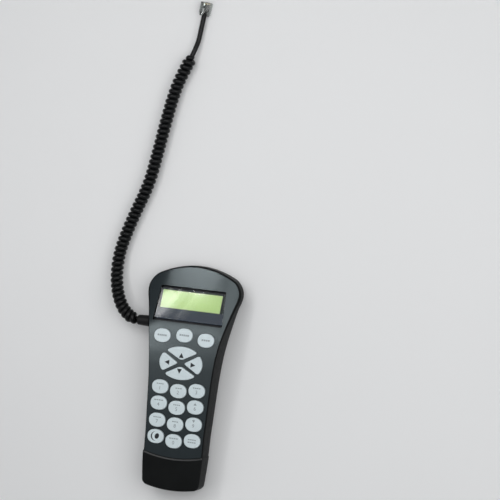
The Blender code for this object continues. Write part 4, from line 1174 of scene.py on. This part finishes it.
def mirrored(plane, x, y, reach_):
    """The point that is seen in the plane's mirror at (x, y), reach_ metres beyond it."""
    normal = (plane.to_3x3().normalized() @ Vector((0, 0, 1))).normalized()
    point = plane @ Vector((x, y, 0))
    ray = (point - EYE).normalized()
    return point + (ray - 2 * ray.dot(normal) * normal) * reach_


def area_light(name, middle, across, along, target, radiance, colour):
    back = (middle - target).normalized()
    ux = (across - back * across.dot(back)).normalized()
    uy = back.cross(ux).normalized()
    data = bpy.data.lights.new(name, "AREA")
    data.shape = "RECTANGLE"
    data.size, data.size_y = across.length, along.length
    data.energy = radiance * math.pi * data.size * data.size_y
    data.color = colour
    obj = bpy.data.objects.new(name, data)
    scene.collection.objects.link(obj)
    obj.matrix_world = Matrix.Translation(middle) @ Matrix((ux, uy, back)).transposed().to_4x4()
    obj.visible_camera = False
    return obj


def glare(name, x0, x1, radiance, slant=-32.0, tall=13.8, reach_=0.5):
    """A leaning strip that the window mirrors between x0 and x1, read at the window's middle height, in millimetres."""
    c, s_ = math.cos(math.radians(slant)), math.sin(math.radians(slant))
    mx, hx = (x0 + x1) / 2, (x1 - x0) / 2 * c
    hy = (tall + s_ * hx) / c
    across = mirrored(HEAD, mx + hx * c, hx * s_, reach_) - mirrored(HEAD, mx - hx * c, -hx * s_, reach_)
    along = mirrored(HEAD, mx - hy * s_, hy * c, reach_) - mirrored(HEAD, mx + hy * s_, -hy * c, reach_)
    return area_light(name, mirrored(HEAD, mx, 0, reach_), across, along, HEAD @ Vector((mx, 0, 0)), radiance, (1, 1, 1))


def ribbon(name, x0, x1, y0, y1, radiance, colour=(1, 1, 1)):
    """A stretch of the curved softbox: the one that the face mirrors between y0 and y1 and, were it flat, between x0 and x1."""
    low, high = mirrored(tangent_plane(y0), 0, 0, REACH), mirrored(tangent_plane(y1), 0, 0, REACH)
    mid = tangent_plane((y0 + y1) / 2)
    across = mirrored(mid, x1, 0, REACH) - mirrored(mid, x0, 0, REACH)
    shift = mirrored(mid, (x0 + x1) / 2, 0, REACH) - mirrored(mid, 0, 0, REACH)
    return area_light(name, (low + high) / 2 + shift, across, high - low, mid @ Vector((0, 0, 0)), radiance, colour)


ribbon("softbox_above", -9.0, 3.0, 67.8, 175.0, 33.0)
ribbon("softbox_above_right", 3.0, 44.0, 67.8, 175.0, 1.4)
ribbon("softbox_right", 44.0, 140.0, 22.0, 175.0, 1.8)
ribbon("softbox_far_right", 140.0, 300.0, 22.0, 175.0, 2.3)
ribbon("softbox_below", -20.0, 50.0, 27.0, 35.3, 3.2)
ribbon("softbox_left", -110.0, -20.0, 10.0, 34.0, 4.4)
ribbon("softbox_mid", -20.0, 120.0, 12.0, 27.0, 1.1)
ribbon("softbox_low_left", -110.0, 0.0, -6.0, 12.0, 1.6)
ribbon("softbox_low_right", 0.0, 120.0, -6.0, 12.0, 0.65)
ribbon("softbox_flat", -110.0, 120.0, -36.0, -6.0, 0.35)
glare("glare_edge", -42.0, -31.0, 2.3)
glare("glare_left", -31.0, -22.5, 2.9)
glare("glare_bright", -22.5, -18.0, 3.3)
glare("glare_middle", -18.0, -12.0, 0.85)
glare("glare_between", -12.0, -5.0, 0.15)
glare("glare_streak", -5.0, -2.0, 1.1)
glare("glare_fade", -2.0, 4.0, 0.35)
panel("overhead", head_centre + face_direction(0.80, 0.15, 1.0) * 1.25, face_centre, 1.1, 1.1, 2.0)
panel("left_fill", face_centre + face_direction(-1.0, -0.35, 0.75) * 1.6, face_centre, 0.8, 1.0, 0.45)
